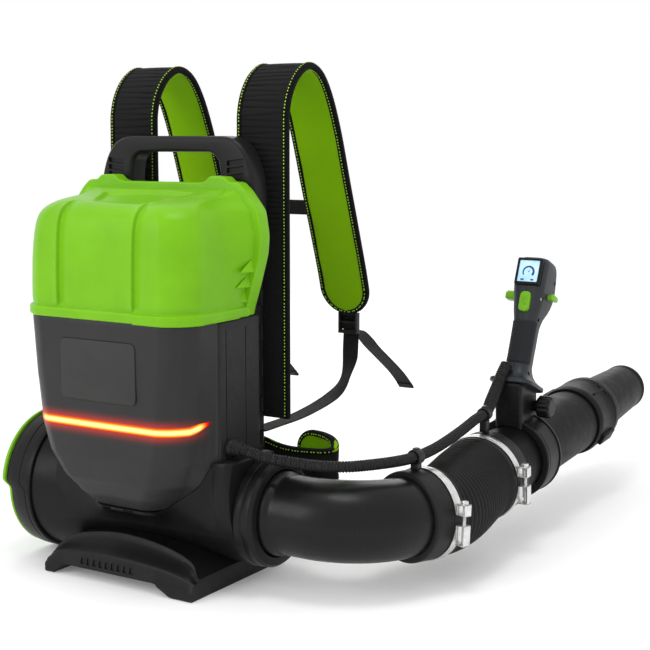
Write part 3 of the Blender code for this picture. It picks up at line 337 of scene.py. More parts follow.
LIME = (0.250, 0.530, 0.001)
LOOKS = {
    "cover_green": moulded("lid_green", (0.155, 0.415, 0.006), 0.34, 0.00004, 1800, 1.18, 0.16),
    "housing_grey": moulded("housing_grey", (0.0150, 0.0150, 0.0152), 0.42, specular=0.18),
    "glow_grey": glowing_housing("housing_lit", (0.0225, 0.0225, 0.0222), 0.42),
    "panel_grey": glowing_housing("panel_grey", (0.0290, 0.0290, 0.0285), 0.50),
    "fan_black": moulded("fan_black", (0.0062, 0.0062, 0.0063), 0.36, 0.00003, 1200, 2.0, 0.15),
    "foot_black": moulded("foot_black", (0.0072, 0.0072, 0.0073), 0.40, 0.00005, 900, 2.0, 0.16),
    "tube_black": moulded("tube_black", (0.0058, 0.0058, 0.0060), 0.30, 0.00002, 1500, 1.8, 0.20),
    # a copy of tube_black for the middle tube, collar and nozzle: its lower specular is a matt finish, its
    # darker colour is painted shade
    "tube_matt_painted_shade": moulded("tube_matt_painted_shade", (0.0036, 0.0036, 0.0037), 0.44, 0.00003, 1500, 1.8, 0.09),
    "rubber_black": moulded("rubber_black", (0.0075, 0.0075, 0.0075), 0.50, 0.00006, 900, 1.6, 0.24),
    "handle_black": moulded("handle_black", (0.0085, 0.0085, 0.0087), 0.38, 0.00005, 1200, 2.0, 0.18),
    "grip_grey": moulded("grip_grey", (0.018, 0.021, 0.025), 0.40, specular=0.30),
    "grip_rubber": moulded("grip_rubber", (0.012, 0.014, 0.017), 0.62, 0.00012, 700, 1.3, 0.20),
    "lever_green": moulded("lever_green", (0.150, 0.400, 0.008), 0.30, 0.00003, 2000, 1.15, 0.25),
    "strap_black": cloth("strap_mesh", (0.0170, 0.0170, 0.0175), (0.003, 0.003, 0.003), 0.0022),
    "strap_lime": cloth("strap_lining", LIME, tint(LIME, 0.62), 0.0016, 0.00025),
    "binding_black": cloth("binding_tape", (0.006, 0.006, 0.006), (0.0015, 0.0015, 0.0015), 0.0010,
                           0.0002, 0.0),
    "foam_black": cloth("pad_mesh", (0.020, 0.020, 0.020), (0.0045, 0.0045, 0.0045), 0.0030, 0.0006, 30),
    "webbing_black": webbing_material("webbing_black", (0.0040, 0.0040, 0.0043)),
    "buckle_black": moulded("buckle_black", (0.008, 0.008, 0.008), 0.36, 0.00003, 1500, 1.7, 0.28),
    "clamp_steel": steel("clamp_steel", (0.78, 0.78, 0.77)),
    "motor_steel": steel("motor_steel", (0.50, 0.50, 0.51), 0.30),
    "copper": plain("copper_wire", (0.72, 0.32, 0.16), 0.35, 1.0),
    "light_lens": lit_strip("light_lens"),
    "display_glass": screen("display_glass"),
    "display_mark": plain("display_mark", (0.010, 0.060, 0.260), 0.3),
    "cable_black": braid("conduit_black", (0.0075, 0.0075, 0.0075)),
    "battery_grey": moulded("battery_grey", (0.090, 0.095, 0.100), 0.5),
    "thread_lime": plain("thread_lime", (0.34, 0.58, 0.030), 0.6),
}


# ---- shapes ------------------------------------------------------------------------------------
def mesh_object(name, bm):
    bmesh.ops.recalc_face_normals(bm, faces=bm.faces)
    mesh = bpy.data.meshes.new(name)
    bm.to_mesh(mesh)
    bm.free()
    made = bpy.data.objects.new(name, mesh)
    bpy.context.scene.collection.objects.link(made)
    return made


def surface(name, rows, wrap=True, caps=True, loop=False, lengths=None, split=None):
    """A surface through rows of points. lengths gives (along, across) in metres for a weave."""
    bm = bmesh.new()
    layer = bm.loops.layers.uv.new("lay") if lengths else None
    verts = [[bm.verts.new(point) for point in row] for row in rows]
    width = len(verts[0])
    places = list(range(len(verts) - 1)) + ([len(verts) - 1] if loop else [])
    for i in places:
        k = (i + 1) % len(verts)
        for j in range(width if wrap else width - 1):
            m = (j + 1) % width
            face = bm.faces.new((verts[i][j], verts[i][m], verts[k][m], verts[k][j]))
            if split is not None:
                face.material_index = 0 if j < split else 1
            if layer:
                along, across = lengths
                spots = ((i, j), (i, j + 1), (i + 1, j + 1), (i + 1, j))
                for corner, (a, b) in zip(face.loops, spots):
                    corner[layer].uv = (along[min(a, len(along) - 1)], across[min(b, len(across) - 1)])
    if caps and not loop:
        bm.faces.new(verts[0])
        bm.faces.new(verts[-1])
    return mesh_object(name, bm)


def show(item, body, look, replaces=None, sharp=38, second=None):
    """Gives a piece its materials and shading, puts it under its CAD body, and hides the CAD node it
    replaces.
    """
    if item.data.materials:
        item.data.materials.clear()
    item.data.materials.append(LOOKS[look].material)
    if second:
        item.data.materials.append(LOOKS[second].material)
    item.data.shade_smooth()
    item.data.set_sharp_from_angle(angle=math.radians(sharp))
    if body:
        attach(item, body)
    if replaces:
        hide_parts(replaces)


def rounded(points, radius, closed=True, steps=4):
    """A flat polyline with its corners rounded off. radius may be one number or one a corner."""
    points = [Vector(point) for point in points]
    count = len(points)
    radii = radius if isinstance(radius, (list, tuple)) else [radius] * count
    made = []
    for index, point in enumerate(points):
        if not closed and index in (0, count - 1) or radii[index] <= 0:
            made.append(point)
            continue
        before, after = points[index - 1] - point, points[(index + 1) % count] - point
        reach = min(radii[index], before.length * 0.48, after.length * 0.48)
        start, end = point + before.normalized() * reach, point + after.normalized() * reach
        for step in range(steps + 1):
            t = step / steps
            made.append(start * (1 - t) ** 2 + point * 2 * t * (1 - t) + end * t ** 2)
    return made


def rectangle(x, y, far_x, far_y, radius, steps=4):
    """A rounded rectangle between two opposite corners."""
    return rounded([(x, y), (far_x, y), (far_x, far_y), (x, far_y)], radius, steps=steps)


def facing(y):
    """The plane across the object at a depth: its XY is the object's XZ."""
    return Matrix.Translation((0, y, 0)) @ FRONT_PLANE


def smooth_line(points, spacing):
    """Points along a smooth curve through the given ones, about spacing apart."""
    points = [Vector(point) for point in points]
    padded = [2 * points[0] - points[1], *points, 2 * points[-1] - points[-2]]
    line = []
    for a, b, c, d in zip(padded, padded[1:], padded[2:], padded[3:]):
        count = max(2, round((c - b).length / spacing))
        for step in range(count):
            t = step / count
            square, cube = 2 * a - 5 * b + 4 * c - d, 3 * b - a - 3 * c + d
            line.append(0.5 * (2 * b + (c - a) * t + square * t ** 2 + cube * t ** 3))
    return line + [points[-1]]


def even_line(points, spacing):
    """The same curve, with its points evenly spaced."""
    fine = smooth_line(points, spacing / 4)
    reach = [0.0]
    for a, b in zip(fine, fine[1:]):
        reach.append(reach[-1] + (b - a).length)
    count = max(2, round(reach[-1] / spacing))
    line, at = [], 0
    for step in range(count + 1):
        want = reach[-1] * step / count
        while at < len(reach) - 2 and reach[at + 1] < want:
            at += 1
        part = (want - reach[at]) / max(reach[at + 1] - reach[at], 1e-9)
        line.append(fine[at].lerp(fine[at + 1], min(part, 1.0)))
    return line


def directions(line):
    """The unit direction at each point of a line."""
    return [(line[min(i + 1, len(line) - 1)] - line[max(i - 1, 0)]).normalized() for i in range(len(line))]


def polar(reach, angle, along):
    return Vector((reach * math.cos(angle), reach * math.sin(angle), along))


def turned(name, profile, place, steps=96, closed=True):
    """A turned piece from (radius, distance along local Z) points."""
    rows = []
    for reach, along in (Vector(point) for point in profile):
        rows.append([place @ polar(reach, a, along) for a in (2 * math.pi * step / steps
            for step in range(steps))])
    return surface(name, rows, caps=not closed, loop=closed)


def swept(name, line, radii, sides=48, caps=True, bore=None, laid=False):
    """A round piece along a line, with a radius at each point and, if asked, a bore."""
    ways = directions(line)
    up = Vector((0, 0, 1))
    rows = []
    for point, way in zip(line, ways):
        side = way.cross(up).normalized()
        lift = side.cross(way).normalized()
        rows.append((point, side, lift))
    rings = [[p + (s * math.cos(a) + u * math.sin(a)) * r for a in (2 * math.pi * k / sides
        for k in range(sides))] for (p, s, u), r in zip(rows, radii)]
    if bore:
        rings += [[p + (s * math.cos(a) + u * math.sin(a)) * bore for a in (2 * math.pi * k / sides
            for k in range(sides))] for (p, s, u) in reversed(rows)]
        return surface(name, rings, loop=True)
    lengths = None
    if laid:
        lengths = ([0.0007 * k for k in range(len(line))], [2 * math.pi * 0.0065 / sides * k
            for k in range(sides + 1)])
    return surface(name, rings, caps=caps, lengths=lengths)


def slab(name, outline, depth, place, edge=0.001, steps=3):
    """A flat plate centred on its plane, with rounded edges."""
    bm = bmesh.new()
    low, high = [[bm.verts.new((p[0], p[1], z)) for p in outline] for z in (-depth / 2, depth / 2)]
    bm.faces.new(low)
    bm.faces.new(high)
    for side in zip(low, low[1:] + low[:1], high[1:] + high[:1], high):
        bm.faces.new(side)
    bmesh.ops.recalc_face_normals(bm, faces=bm.faces)
    rim = [e for e in bm.edges
        if len(e.link_faces) == 2 and e.link_faces[0].normal.angle(e.link_faces[1].normal, 0) > 0.9]
    if edge:
        bmesh.ops.bevel(bm, geom=rim, offset=edge, segments=steps, affect="EDGES", profile=0.5,
            clamp_overlap=True)
    bmesh.ops.transform(bm, matrix=place, verts=bm.verts)
    return mesh_object(name, bm)


def block(name, low, high, edge=0.001, place=None, steps=3):
    """A box with rounded edges."""
    low, high = Vector(low), Vector(high)
    bm = bmesh.new()
    shape = Matrix.Translation((low + high) / 2) @ Matrix.Diagonal((*(high - low), 1))
    bmesh.ops.create_cube(bm, size=1, matrix=shape)
    if edge:
        bmesh.ops.bevel(bm, geom=bm.edges[:], offset=edge, segments=steps, affect="EDGES", profile=0.5,
            clamp_overlap=True)
    if place:
        bmesh.ops.transform(bm, matrix=place, verts=bm.verts)
    return mesh_object(name, bm)


def rod(name, start, end, radius, steps=32, edge=0.0):
    start, end = Vector(start), Vector(end)
    place = Matrix.Translation(start) @ (end - start).to_track_quat("Z", "Y").to_matrix().to_4x4()
    length = (end - start).length
    edge = min(edge, radius * 0.4)
    profile = [(radius - edge, 0), (radius, edge), (radius, length - edge), (radius - edge, length)]
    return turned(name, profile, place, steps, closed=False)


def baked(item):
    """A piece with its modifiers' result as its own mesh."""
    bpy.context.view_layer.update()
    graph = bpy.context.evaluated_depsgraph_get()
    mesh = bpy.data.meshes.new_from_object(item.evaluated_get(graph))
    item.modifiers.clear()
    item.data = mesh
    return item


def carved(item, cutters, operation="DIFFERENCE"):
    """Cuts the cutters out of a piece, or joins them on, and keeps only the result."""
    for cutter in cutters:
        change = item.modifiers.new("carve", "BOOLEAN")
        change.operation, change.object, change.solver = operation, cutter, "EXACT"
        baked(item)
        bpy.data.objects.remove(cutter, do_unlink=True)
    return item


def joined(name, items):
    """Several small pieces as one object."""
    bm = bmesh.new()
    for item in items:
        start = len(bm.verts)
        bm.from_mesh(item.data)
        bm.verts.ensure_lookup_table()
        bmesh.ops.transform(bm, matrix=item.matrix_world, verts=bm.verts[start:])
        bpy.data.objects.remove(item, do_unlink=True)
    return mesh_object(name, bm)


# ---- fan unit ----------------------------------------------------------------------------------
FAN_OUTSIDE = [(0.0665, FAN_RIGHT), (0.0660, 0.115), (0.0645, 0.080), (0.0650, 0.030), (0.0690, -0.030),
    (0.0750, -0.085), (0.0820, -0.130), (0.0870, -0.160)]


def fan_cutter():
    """A solid the size of the fan housing, for what is moulded round it."""
    outside = [(radius + GAP, along) for radius, along in FAN_OUTSIDE]
    profile = [(0.0005, FAN_RIGHT + GAP), *outside, (0.0925 + GAP, -0.1600), (0.0925 + GAP, -0.210),
        (0.0005, -0.210)]
    return turned("fan_cutter", profile, FAN_AXIS, 96, closed=False)


def step_in(co):
    """The intake end is longer above its middle than below it, with a short ramp between."""
    low = 1 / (1 + math.exp((co.z - 0.0985) / 0.0016))
    reach = min(1.0, max(0.0, (-0.1625 - co.x) / 0.010))
    return 0.0105 * low * reach


def fan_duct():
    outside = smooth_line([(r, x, 0) for r, x in FAN_OUTSIDE], 0.006)
    profile = [(p.x, p.y) for p in outside]
    profile += [(0.0888, -0.1600), (0.0905, -0.1606), (0.0913, -0.1620), (0.0916, -0.1660),
        (0.0916, -0.1770), (0.0908, -0.1778), (0.0908, -0.1786), (0.0915, -0.1794), (0.0914, -0.1900),
        (0.0903, -0.1985), (0.0894, -0.2022), (0.0880, FAN_LEFT), (0.0855, FAN_LEFT), (0.0850, -0.2010),
        (0.0790, -0.135), (0.0725, -0.095), (0.0660, -0.055), (0.0635, -0.040), (0.0635, 0.050),
        (0.0596, 0.140), (0.0596, 0.1455), (0.0610, FAN_RIGHT), (0.0655, FAN_RIGHT), (0.0664, 0.1450)]
    fan = turned("fan_shroud", profile, FAN_AXIS, 160)
    for vert in fan.data.vertices:
        vert.co.x += step_in(vert.co)
    show(fan, "body", "fan_black", "fan_housing", sharp=30)


def intake_ring():
    """The green ring round the intake, prouder above its middle than below it."""
    face = FAN_LEFT - GAP
    steps, rows = 320, []
    outline = rounded([(0.0870, face), (0.0896, face - 0.0006), (0.0892, face - 0.0042),
        (0.0850, face - 0.0050), (0.0800, face - 0.0050), (0.0776, face - 0.0040), (0.0776, face)], 0.0010)
    for reach, along in outline:
        row = []
        for step in range(steps):
            a = 2 * math.pi * step / steps
            # local X is down, so the upper half is where the cosine is negative
            upper = 1 / (1 + math.exp((math.cos(a) + 0.10) * 60))
            out = max(0.0, (reach - 0.084) / 0.006) * 0.0026 * upper
            proud = 0.0016 * upper * max(0.0, (face - along) / 0.005)
            spot = FAN_AXIS @ polar(reach + out, a, along - proud)
            row.append(spot + Vector((step_in(spot), 0, 0)))
        rows.append(row)
    show(surface("intake_ring", rows, loop=True), "body", "lever_green", "intake_rim")


def intake_guard():
    """Six rings, twelve curved spokes and a hub across the intake."""
    left = FAN_LEFT + 0.0085
    parts = []
    for radius in (0.0752, 0.063, 0.052, 0.042, 0.032, 0.022):
        wide = 0.0016 if radius < 0.07 else 0.0019
        parts.append(turned("guard_ring", rectangle(radius - wide, left, radius + wide, left + 0.0036,
            0.0008), FAN_AXIS, 96))
    for index in range(12):
        turn = Matrix.Rotation(math.pi / 6 * index, 4, "Z")
        line = [FAN_AXIS @ turn @ Vector((r, 0.009 * math.sin((r - 0.012) * 34), left + 0.0018))
            for r in (0.012 + 0.063 * k / 12 for k in range(13))]
        parts.append(swept("guard_spoke", line, [0.0015] * len(line), 10))
    parts.append(turned("guard_hub", [(0.0005, left - 0.0024), (0.0090, left - 0.0022),
        (0.0132, left - 0.0010), (0.0145, left + 0.0010), (0.0145, left + 0.0040), (0.0005, left + 0.0040)],
        FAN_AXIS, 64, closed=False))
    show(joined("intake_guard", parts), "body", "fan_black", "intake_grille")


def outlet_collar():
    near = FAN_RIGHT + GAP
    profile = [(0.0622, near + 0.0248), (0.0640, near + 0.0240), (0.0668, near + 0.0200),
        (0.0672, near + 0.0120), (0.0666, near + 0.0108), (0.0666, near + 0.0098), (0.0674, near + 0.0086),
        (0.0676, near + 0.0006), (0.0670, near), (0.0600, near), (0.0596, near + 0.0055),
        (0.0536, near + 0.0062), (0.0536, near + 0.0240), (0.0544, near + 0.0250)]
    show(turned("outlet_collar", profile, FAN_AXIS, 128), "body", "fan_black", "outlet_ring", sharp=30)


def fan_wheel():
    """A rounded hub with nine twisted blades."""
    hub = turned("hub", mm((29, -62), (29, -70), (28.2, -82), (26.2, -94), (22.5, -104), (17.5, -112),
        (11, -117.5), (4.6, -118), (4.6, -62)), FAN_AXIS, 64)
    parts = [hub]
    for index in range(9):
        turn = FAN_AXIS @ Matrix.Rotation(2 * math.pi / 9 * index, 4, "Z")
        rows = []
        for k in range(9):
            r = 0.021 + 0.0442 * k / 8
            t = k / 8
            near_edge, far_edge = -0.0985 + 0.001 * t, -0.0685 - 0.005 * t
            back, front = -0.007 - 0.010 * t, 0.009 + 0.005 * t
            row = []
            for side in (1, -1):
                for m in range(7)[::side]:
                    u = m / 6
                    thick = 0.0009 * math.sin(math.pi * min(max(u, 0.04), 0.96)) + 0.0003
                    y = back + (front - back) * u + 0.0035 * math.sin(math.pi * u) + side * thick
                    row.append(turn @ Vector((r, y, near_edge + (far_edge - near_edge) * u)))
            rows.append(row)
        parts.append(surface("blade", rows))
    show(joined("fan_wheel", parts), "fan", "fan_black", "impeller")


CRADLE_GAP, CRADLE_LOW, CRADLE_TURN = 0.0012, 0.0980, -0.0850      # clearance, lowest edge, turning place
DECK_Z, DECK_REAR, DECK_END, DECK_RADIUS = 0.1652, -0.0712, 0.1448, 0.0090


def side_point(z, y):
    """The point on the housing's right side at a height and a depth."""
    row = rear_row(z, CRADLE_GAP)
    for a, b in zip(row, row[1:]):
        if a.y >= y >= b.y:
            return a.lerp(b, (a.y - y) / max(1e-6, a.y - b.y))
    return row[0]


def cradle_edge():
    """Where the duct meets the housing: along its rounded foot, up its side, and out along the deck."""
    foot = [p - Vector((0, 0, 0.0015)) for p in rear_row(CRADLE_LOW, CRADLE_GAP)
        if p.x >= 0 and p.y < CRADLE_TURN]
    line = foot[::-1]
    for k in range(12):
        t = k / 11
        z = CRADLE_LOW + 0.0020 + (DECK_Z - CRADLE_LOW - 0.0040) * t
        line.append(side_point(z, -0.0800 + 0.0070 * t * t))
    for k in range(8):
        a = math.pi / 2 * k / 7
        line.append(Vector((DECK_END - DECK_RADIUS + DECK_RADIUS * math.sin(a),
            DECK_REAR + DECK_RADIUS - DECK_RADIUS * math.cos(a), DECK_Z - 0.0035 * (k / 7) ** 2)))
    return smooth_line(line, 0.0025)


def fan_radius(along):
    for (high, a), (low, b) in zip(FAN_OUTSIDE, FAN_OUTSIDE[1:]):
        if b <= along <= a:
            return high + (low - high) * (along - a) / (b - a)
    return FAN_OUTSIDE[-1][0] if along < 0 else FAN_OUTSIDE[0][0]


def shoulders():
    """The duct rises behind and beside the housing as a cradle, up to a flat deck by the outlet."""
    line = cradle_edge()
    for side, word in ((1, "right"), (-1, "left")):
        rows = []
        for edge in line:
            if side < 0 and edge.x > 0.1240:
                break
            m = soft(edge.x - 0.1205, 0.0022) if side > 0 else 0.0
            inward = Vector((-0.55, 0.83, 0)).lerp(Vector((0, 1, 0)), m)
            row = [edge + inward * (0.014 + 0.072 * m) - Vector((0, 0, 0.008 + 0.002 * m)),
                   edge + inward * (0.012 + 0.074 * m),
                   edge + inward * 0.0012,
                   edge + inward * 0.0003 - Vector((0, 0, 0.0003)),
                   edge - inward * 0.0002 - Vector((0, 0, 0.0011))]
            along = edge.x + 0.003 * (1 - m) * min(1.0, edge.x / 0.030)
            reach = fan_radius(side * along) + 0.0002
            end = Vector((along, -0.936 * reach, FAN_Z - 0.352 * reach))
            start = row[-1]
            pull = end + Vector((0, -0.352, 0.936)) * (0.022 + 0.034 * m)
            for k in range(1, 21):
                t = k / 20
                row.append(start * (1 - t) ** 2 + pull * 2 * t * (1 - t) + end * t * t)
            # back inside the duct's own wall
            high = math.atan2(row[0].z - FAN_Z, -row[0].y)
            for k in range(14):
                a = -0.36 + (high + 0.36) * k / 13
                row.append(Vector((along, -math.cos(a) * (reach - 0.0008),
                    FAN_Z + math.sin(a) * (reach - 0.0008))))
            rows.append([Vector((side * p.x, p.y, p.z)) for p in row])
        show(surface("fan_shoulder_" + word, rows), "body", "fan_black", sharp=50)


# ---- body --------------------------------------------------------------------------------------
# height, half width, rear face and half width at the split
LOBE = mm((92, 42, -86, 62), (100, 56, -98, 86), (115, 76, -112, 103), (135, 93.5, -122, 116),
    (165, 108.5, -129, 124), (200, 116, -132, 125), (260, 122, -134, 125), (333, 126.5, -135, 125.5))


def body_width(z):
    line = [Vector(row) for row in LOBE]
    for low, high in zip(line, line[1:]):
        if z <= high[0] or high is line[-1]:
            return low.lerp(high, (z - low[0]) / (high[0] - low[0]))[1:]


def corner(half, rear, radius, steps):
    """A vertical edge's outline: half an arc, half a flat chamfer."""
    made = []
    for k in range(steps + 1):
        a, t = math.pi / 2 * k / steps, k / steps
        arc = Vector((math.cos(a), -math.sin(a)))
        flat = Vector((1 - t, -t))
        spot = arc.lerp(flat, 0.38) * radius
        made.append((half - radius + spot.x, rear + radius + spot.y))
    return made


def rear_row(z, grow=0.0, across=41, steps=10):
    """The rear housing's outline at a height: round from the right split to the left."""
    half, rear, wide = body_width(z)
    radius = min(0.034, half * 0.6, (BODY_SPLIT - rear) * 0.7)
    half, rear, wide, radius = half + grow, rear - grow, wide + grow, radius + grow
    side = []
    for step in range(7):
        t = step / 7
        side.append((wide + (half - wide) * t, BODY_SPLIT + (rear + radius - BODY_SPLIT) * t))
    side += corner(half, rear, radius, steps)
    flat = half - radius
    middle = [(flat - 2 * flat * k / (across + 1), rear) for k in range(1, across + 1)]
    return [Vector((x, y, z)) for x, y in side + middle + [(-x, y) for x, y in side[::-1]]]


def walled(item, is_rim, centre, thickness, relief=None):
    """Closes a shell with a face through its rim's points, shapes it, and gives it a wall."""
    bm = bmesh.new()
    bm.from_mesh(item.data)
    bm.faces.new([v for v in bm.verts if is_rim(v.co)])
    bmesh.ops.recalc_face_normals(bm, faces=bm.faces)
    if sum((f.calc_center_median() - centre).dot(f.normal) for f in bm.faces) < 0:
        bmesh.ops.reverse_faces(bm, faces=bm.faces)
    bm.normal_update()
    for vert in bm.verts:
        if relief and vert.co.y < -0.024:
            vert.co += vert.normal * relief(*vert.co)
    bm.to_mesh(item.data)
    bm.free()
    change = item.modifiers.new("wall", "SOLIDIFY")
    change.thickness, change.offset, change.use_even_offset = thickness, -1, True
    return baked(item)


def housing():
    heights = [0.098 + 0.2350 * k / 74 for k in range(75)]
    rows = []
    for z in heights:
        row = rear_row(z)
        # a light crease where the side wall turns, and a soft roll into the lid's seam
        rolled = 0.0009 * max(0.0, (z - 0.3290) / 0.0040) ** 2
        for point in row:
            way = Vector((point.x * 0.5, point.y + 0.05, 0)).normalized()
            facet = 0.0
            if abs(point.x) > 0.094 and z > 0.150:
                waves = (point.y + 0.066) / 0.0105
                facet = 0.00045 * math.cos(waves * 2 * math.pi) * min(1, (z - 0.150) / 0.03)
            bow = 0.0010 * (1 - (point.x / 0.09) ** 2) if point.y < -0.12 and abs(point.x) < 0.09 else 0
            point += way * (facet + bow - rolled)
        rows.append(row)
    shell = surface("rear_shell", rows, wrap=False, caps=False)
    walled(shell, lambda co: co.z < 0.0981, Vector((0, -0.07, 0.25)), 0.003)
    pocket = slab("pocket", rectangle(0.0585, 0.3105, -0.0585, 0.2355, 0.0085), 0.004, facing(-0.1370),
        0.0012)
    carved(shell, [fan_cutter(), pocket, light_band("groove", 0.0006, 0.004, 0.0030)])
    show(shell, "body", "glow_grey", "rear_housing", 34)

    panel = slab("rear_cover_plate", rectangle(0.0575, 0.3095, -0.0575, 0.2365, 0.0078), 0.0024,
        facing(-0.1352), 0.0007)
    show(panel, "body", "panel_grey", "rear_panel")
    show(light_band("light_bar", 0.0, 0.0007, 0.0018), "body", "light_lens", "light_strip", sharp=50)


def front_housing():
    front = block("front_shell", (-0.127, BODY_SPLIT + GAP, 0.118), (0.127, BODY_FRONT, 0.3330), 0.0042,
        steps=4)
    ribs = [block("rib", (side * 0.127 - 0.0016, y, 0.150), (side * 0.127 + 0.0016, y + 0.0014, 0.322),
        0.0007) for side in (-1, 1) for y in (-0.052, -0.012)]
    hole = rod("hole", (0.118, -0.045, 0.178), (0.140, -0.045, 0.178), 0.0082, 48)
    inside = block("inside", (-0.124, -0.2, 0.168), (0.124, BODY_FRONT - 0.003, 0.5), 0)
    carved(front, [fan_cutter(), inside, hole, *ribs])
    show(front, "body", "housing_grey", "front_housing", sharp=34)


def light_band(name, grow, out, deep):
    """The strip's band: round the rear face and the right corner, ending in a point."""
    low, high = LIGHT_Z - 0.0052 - grow, LIGHT_Z + 0.0052 + grow
    levels = 9
    base = rear_row(LIGHT_Z, 0, across=61, steps=14)
    line = [p for p in base if p.x > -0.1080 - grow and not (p.x > 0 and p.y > -0.0715 + grow)]
    ways = directions(line)
    rows = []
    for point, way in zip(line, ways):
        normal = Vector((-way.y, way.x, 0))
        if normal.dot(Vector((point.x * 0.5, point.y + 0.05, 0))) < 0:
            normal = -normal
        bow = 0.0010 * (1 - (point.x / 0.09) ** 2) if point.y < -0.12 and abs(point.x) < 0.09 else 0
        tip = min(1.0, ((line[0] - point).length + 0.0006) / 0.024) ** 0.65
        tail = min(1.0, ((line[-1] - point).length + 0.0030) / 0.008)
        shift = 0.0085 * max(0.0, (point.y + 0.1080) / 0.0365) ** 1.2 if point.x > 0 else 0.0
        row = []
        for k in range(levels):
            u = k / (levels - 1) * 2 - 1
            half = (high - low) / 2 * tip * tail
            crown = (1 - u * u) ** 0.5
            proud = out * (0.35 + 0.65 * crown) + bow
            row.append(point + normal * proud + Vector((0, 0, u * half + shift)))
        for k in range(levels)[::-1]:
            u = k / (levels - 1) * 2 - 1
            half = (high - low) / 2 * tip * tail
            row.append(point - normal * (deep - bow) + Vector((0, 0, u * half + shift)))
        rows.append(row)
    return surface(name, rows)


# the lid's height, half width and rear face
COVER = mm((333.3, 125.2, -135.2), (334.5, 126.3, -136.6), (336.2, 126.6, -137.2), (343.8, 126.4, -137),
    (345.2, 125.6, -136), (346, 124, -134), (347.5, 123.6, -133.6), (349.5, 124, -134),
    (354, 124.3, -134.4), (365, 124.2, -134.3), (380, 124, -134), (400, 123.5, -133.5),
    (420, 122.2, -132.5), (433, 120.9, -131.5), (440.5, 119.8, -130.6), (448, 118.5, -129.2),
    (455, 116.5, -126.8), (460, 114.1, -123.5), (464, 111.2, -119.4), (467.2, 108, -114.8),
    (470, 104.5, -108.5), (472, 103, -100), (473.6, 102.2, -90), (475.3, 101.6, -78), (477, 101, -65),
    (479, 100.3, -52), (481.2, 99.6, -40), (483.4, 98.8, -30), (485, 98, -22))
RIBS = (-0.0615, 0.0545)


def soft(value, width):
    """0 well below zero, 1 well above it."""
    return 1 / (1 + math.exp(-max(-40.0, min(40.0, value / width))))


def lid_relief(x, y, z):
    """How far the lid's surface stands out for its ribs, the raised field between and the dish."""
    draw = min(1.0, max(0.0, (y + 0.1225) / 0.024)) if z > 0.462 else 0.0
    fade = min(1.0, max(0.0, (z - 0.3465) / 0.004)) * (1 - draw * draw)
    height = 0.0
    for at in RIBS:
        off = x - at
        height += 0.0018 * math.exp(-(min(0.0, off) / 0.0060) ** 2) * soft(-off, 0.00035)
        height -= 0.0030 * soft(off, 0.00035) * math.exp(-(max(0.0, off - 0.0025) / 0.0085) ** 2)
    height *= fade
    if z < 0.3452:
        height += 0.0013 * soft(x - RIBS[1], 0.0004)
    if z > 0.4705:
        reach = 0.034 + 0.50 * max(0.0, y + 0.105)
        edge = soft(reach - abs(x - 0.004), 0.0016) * soft(-0.0330 - 1.6 * (x - 0.004) ** 2 - y, 0.0012)
        height -= 0.0042 * edge * min(1.0, (z - 0.4705) / 0.0045)
    return height


# the flange's height and half width
FLANGE_EDGE = mm((333.3, 127), (342, 129), (366, 137), (408, 149), (431, 151), (461, 146), (484.5, 127),
    (494, 116))


def flange_half(z):
    for (low, a), (high, b) in zip(FLANGE_EDGE, FLANGE_EDGE[1:]):
        if z <= high:
            return a + (b - a) * (z - low) / (high - low)
    return FLANGE_EDGE[-1][1]


def lid_columns(flat):
    """Where the rear face's columns stand, right to left: close together at the ribs."""
    narrow = min(1.0, flat / 0.0820)
    offsets = (0.0150, 0.0070, -0.0040, -0.0120)
    stops = [flat, *((at + off) * narrow for at in RIBS[::-1] for off in offsets), -flat]
    counts = (10, 12, 26, 12, 26, 12, 26, 12, 10)
    return [a + (b - a) * (k + 0.5) / count for a, b, count in zip(stops, stops[1:], counts)
        for k in range(count)]


def lid():
    rows = []
    ordered = [Vector(row) for row in COVER]
    fine = []
    for a, b in zip(ordered, ordered[1:]):
        count = max(1, round((b - a).length / 0.0022))
        fine += [a.lerp(b, k / count) for k in range(count)]
    fine.append(ordered[-1])
    for z, half, rear in fine:
        half += 0.0030
        front = -0.0060
        radius = min(0.034, (front - rear) * 0.6)
        flat = half - radius
        flare = max(0.0, flange_half(z) - 0.0085 - half) * soft(z - 0.348, 0.003)
        half_row = []
        for k in range(17):
            y = front + (rear + radius - front) * k / 17
            near = min(1.0, max(0.0, (y + 0.056) / 0.044))
            half_row.append((half + flare * near ** 2.2, y))
        half_row += corner(half, rear, radius, 12)
        middle = [(x, rear) for x in lid_columns(flat)]
        other_half = [(-x, y) for x, y in half_row[::-1]]
        rows.append([Vector((x, y, z)) for x, y in half_row + middle + other_half])
    dome = surface("lid_dome", rows, wrap=False, caps=False)
    walled(dome, lambda co: co.z > 0.48499, Vector((0, -0.05, 0.40)), 0.0026, lid_relief)
    show(dome, "body", "cover_green", "top_cover", sharp=40)


def lid_flange():
    outline = mm((60, 492.5), (69, 495), (75.5, 501), (96, 500.5), (103, 494.5), (116, 494), (127, 484.5),
        (146, 461), (151, 431), (149, 408), (137, 366), (129, 342), (127, 333.4))
    corners = [0.004] * 2 + [0.003] * 3 + [0.004] * 2 + [0.006] * 5 + [0.0]
    whole = rounded(outline[::-1] + [(-x, z) for x, z in outline], corners[::-1] + corners)
    flange = slab("lid_flange", [(p.x, p.y) for p in whole], 0.020, facing(-0.002), 0.0020)
    carved(flange, [block("hollow", (-0.105, -0.02, 0.300), (0.105, 0.0048, 0.450), 0)])
    show(flange, "body", "cover_green", "top_cover", sharp=34)


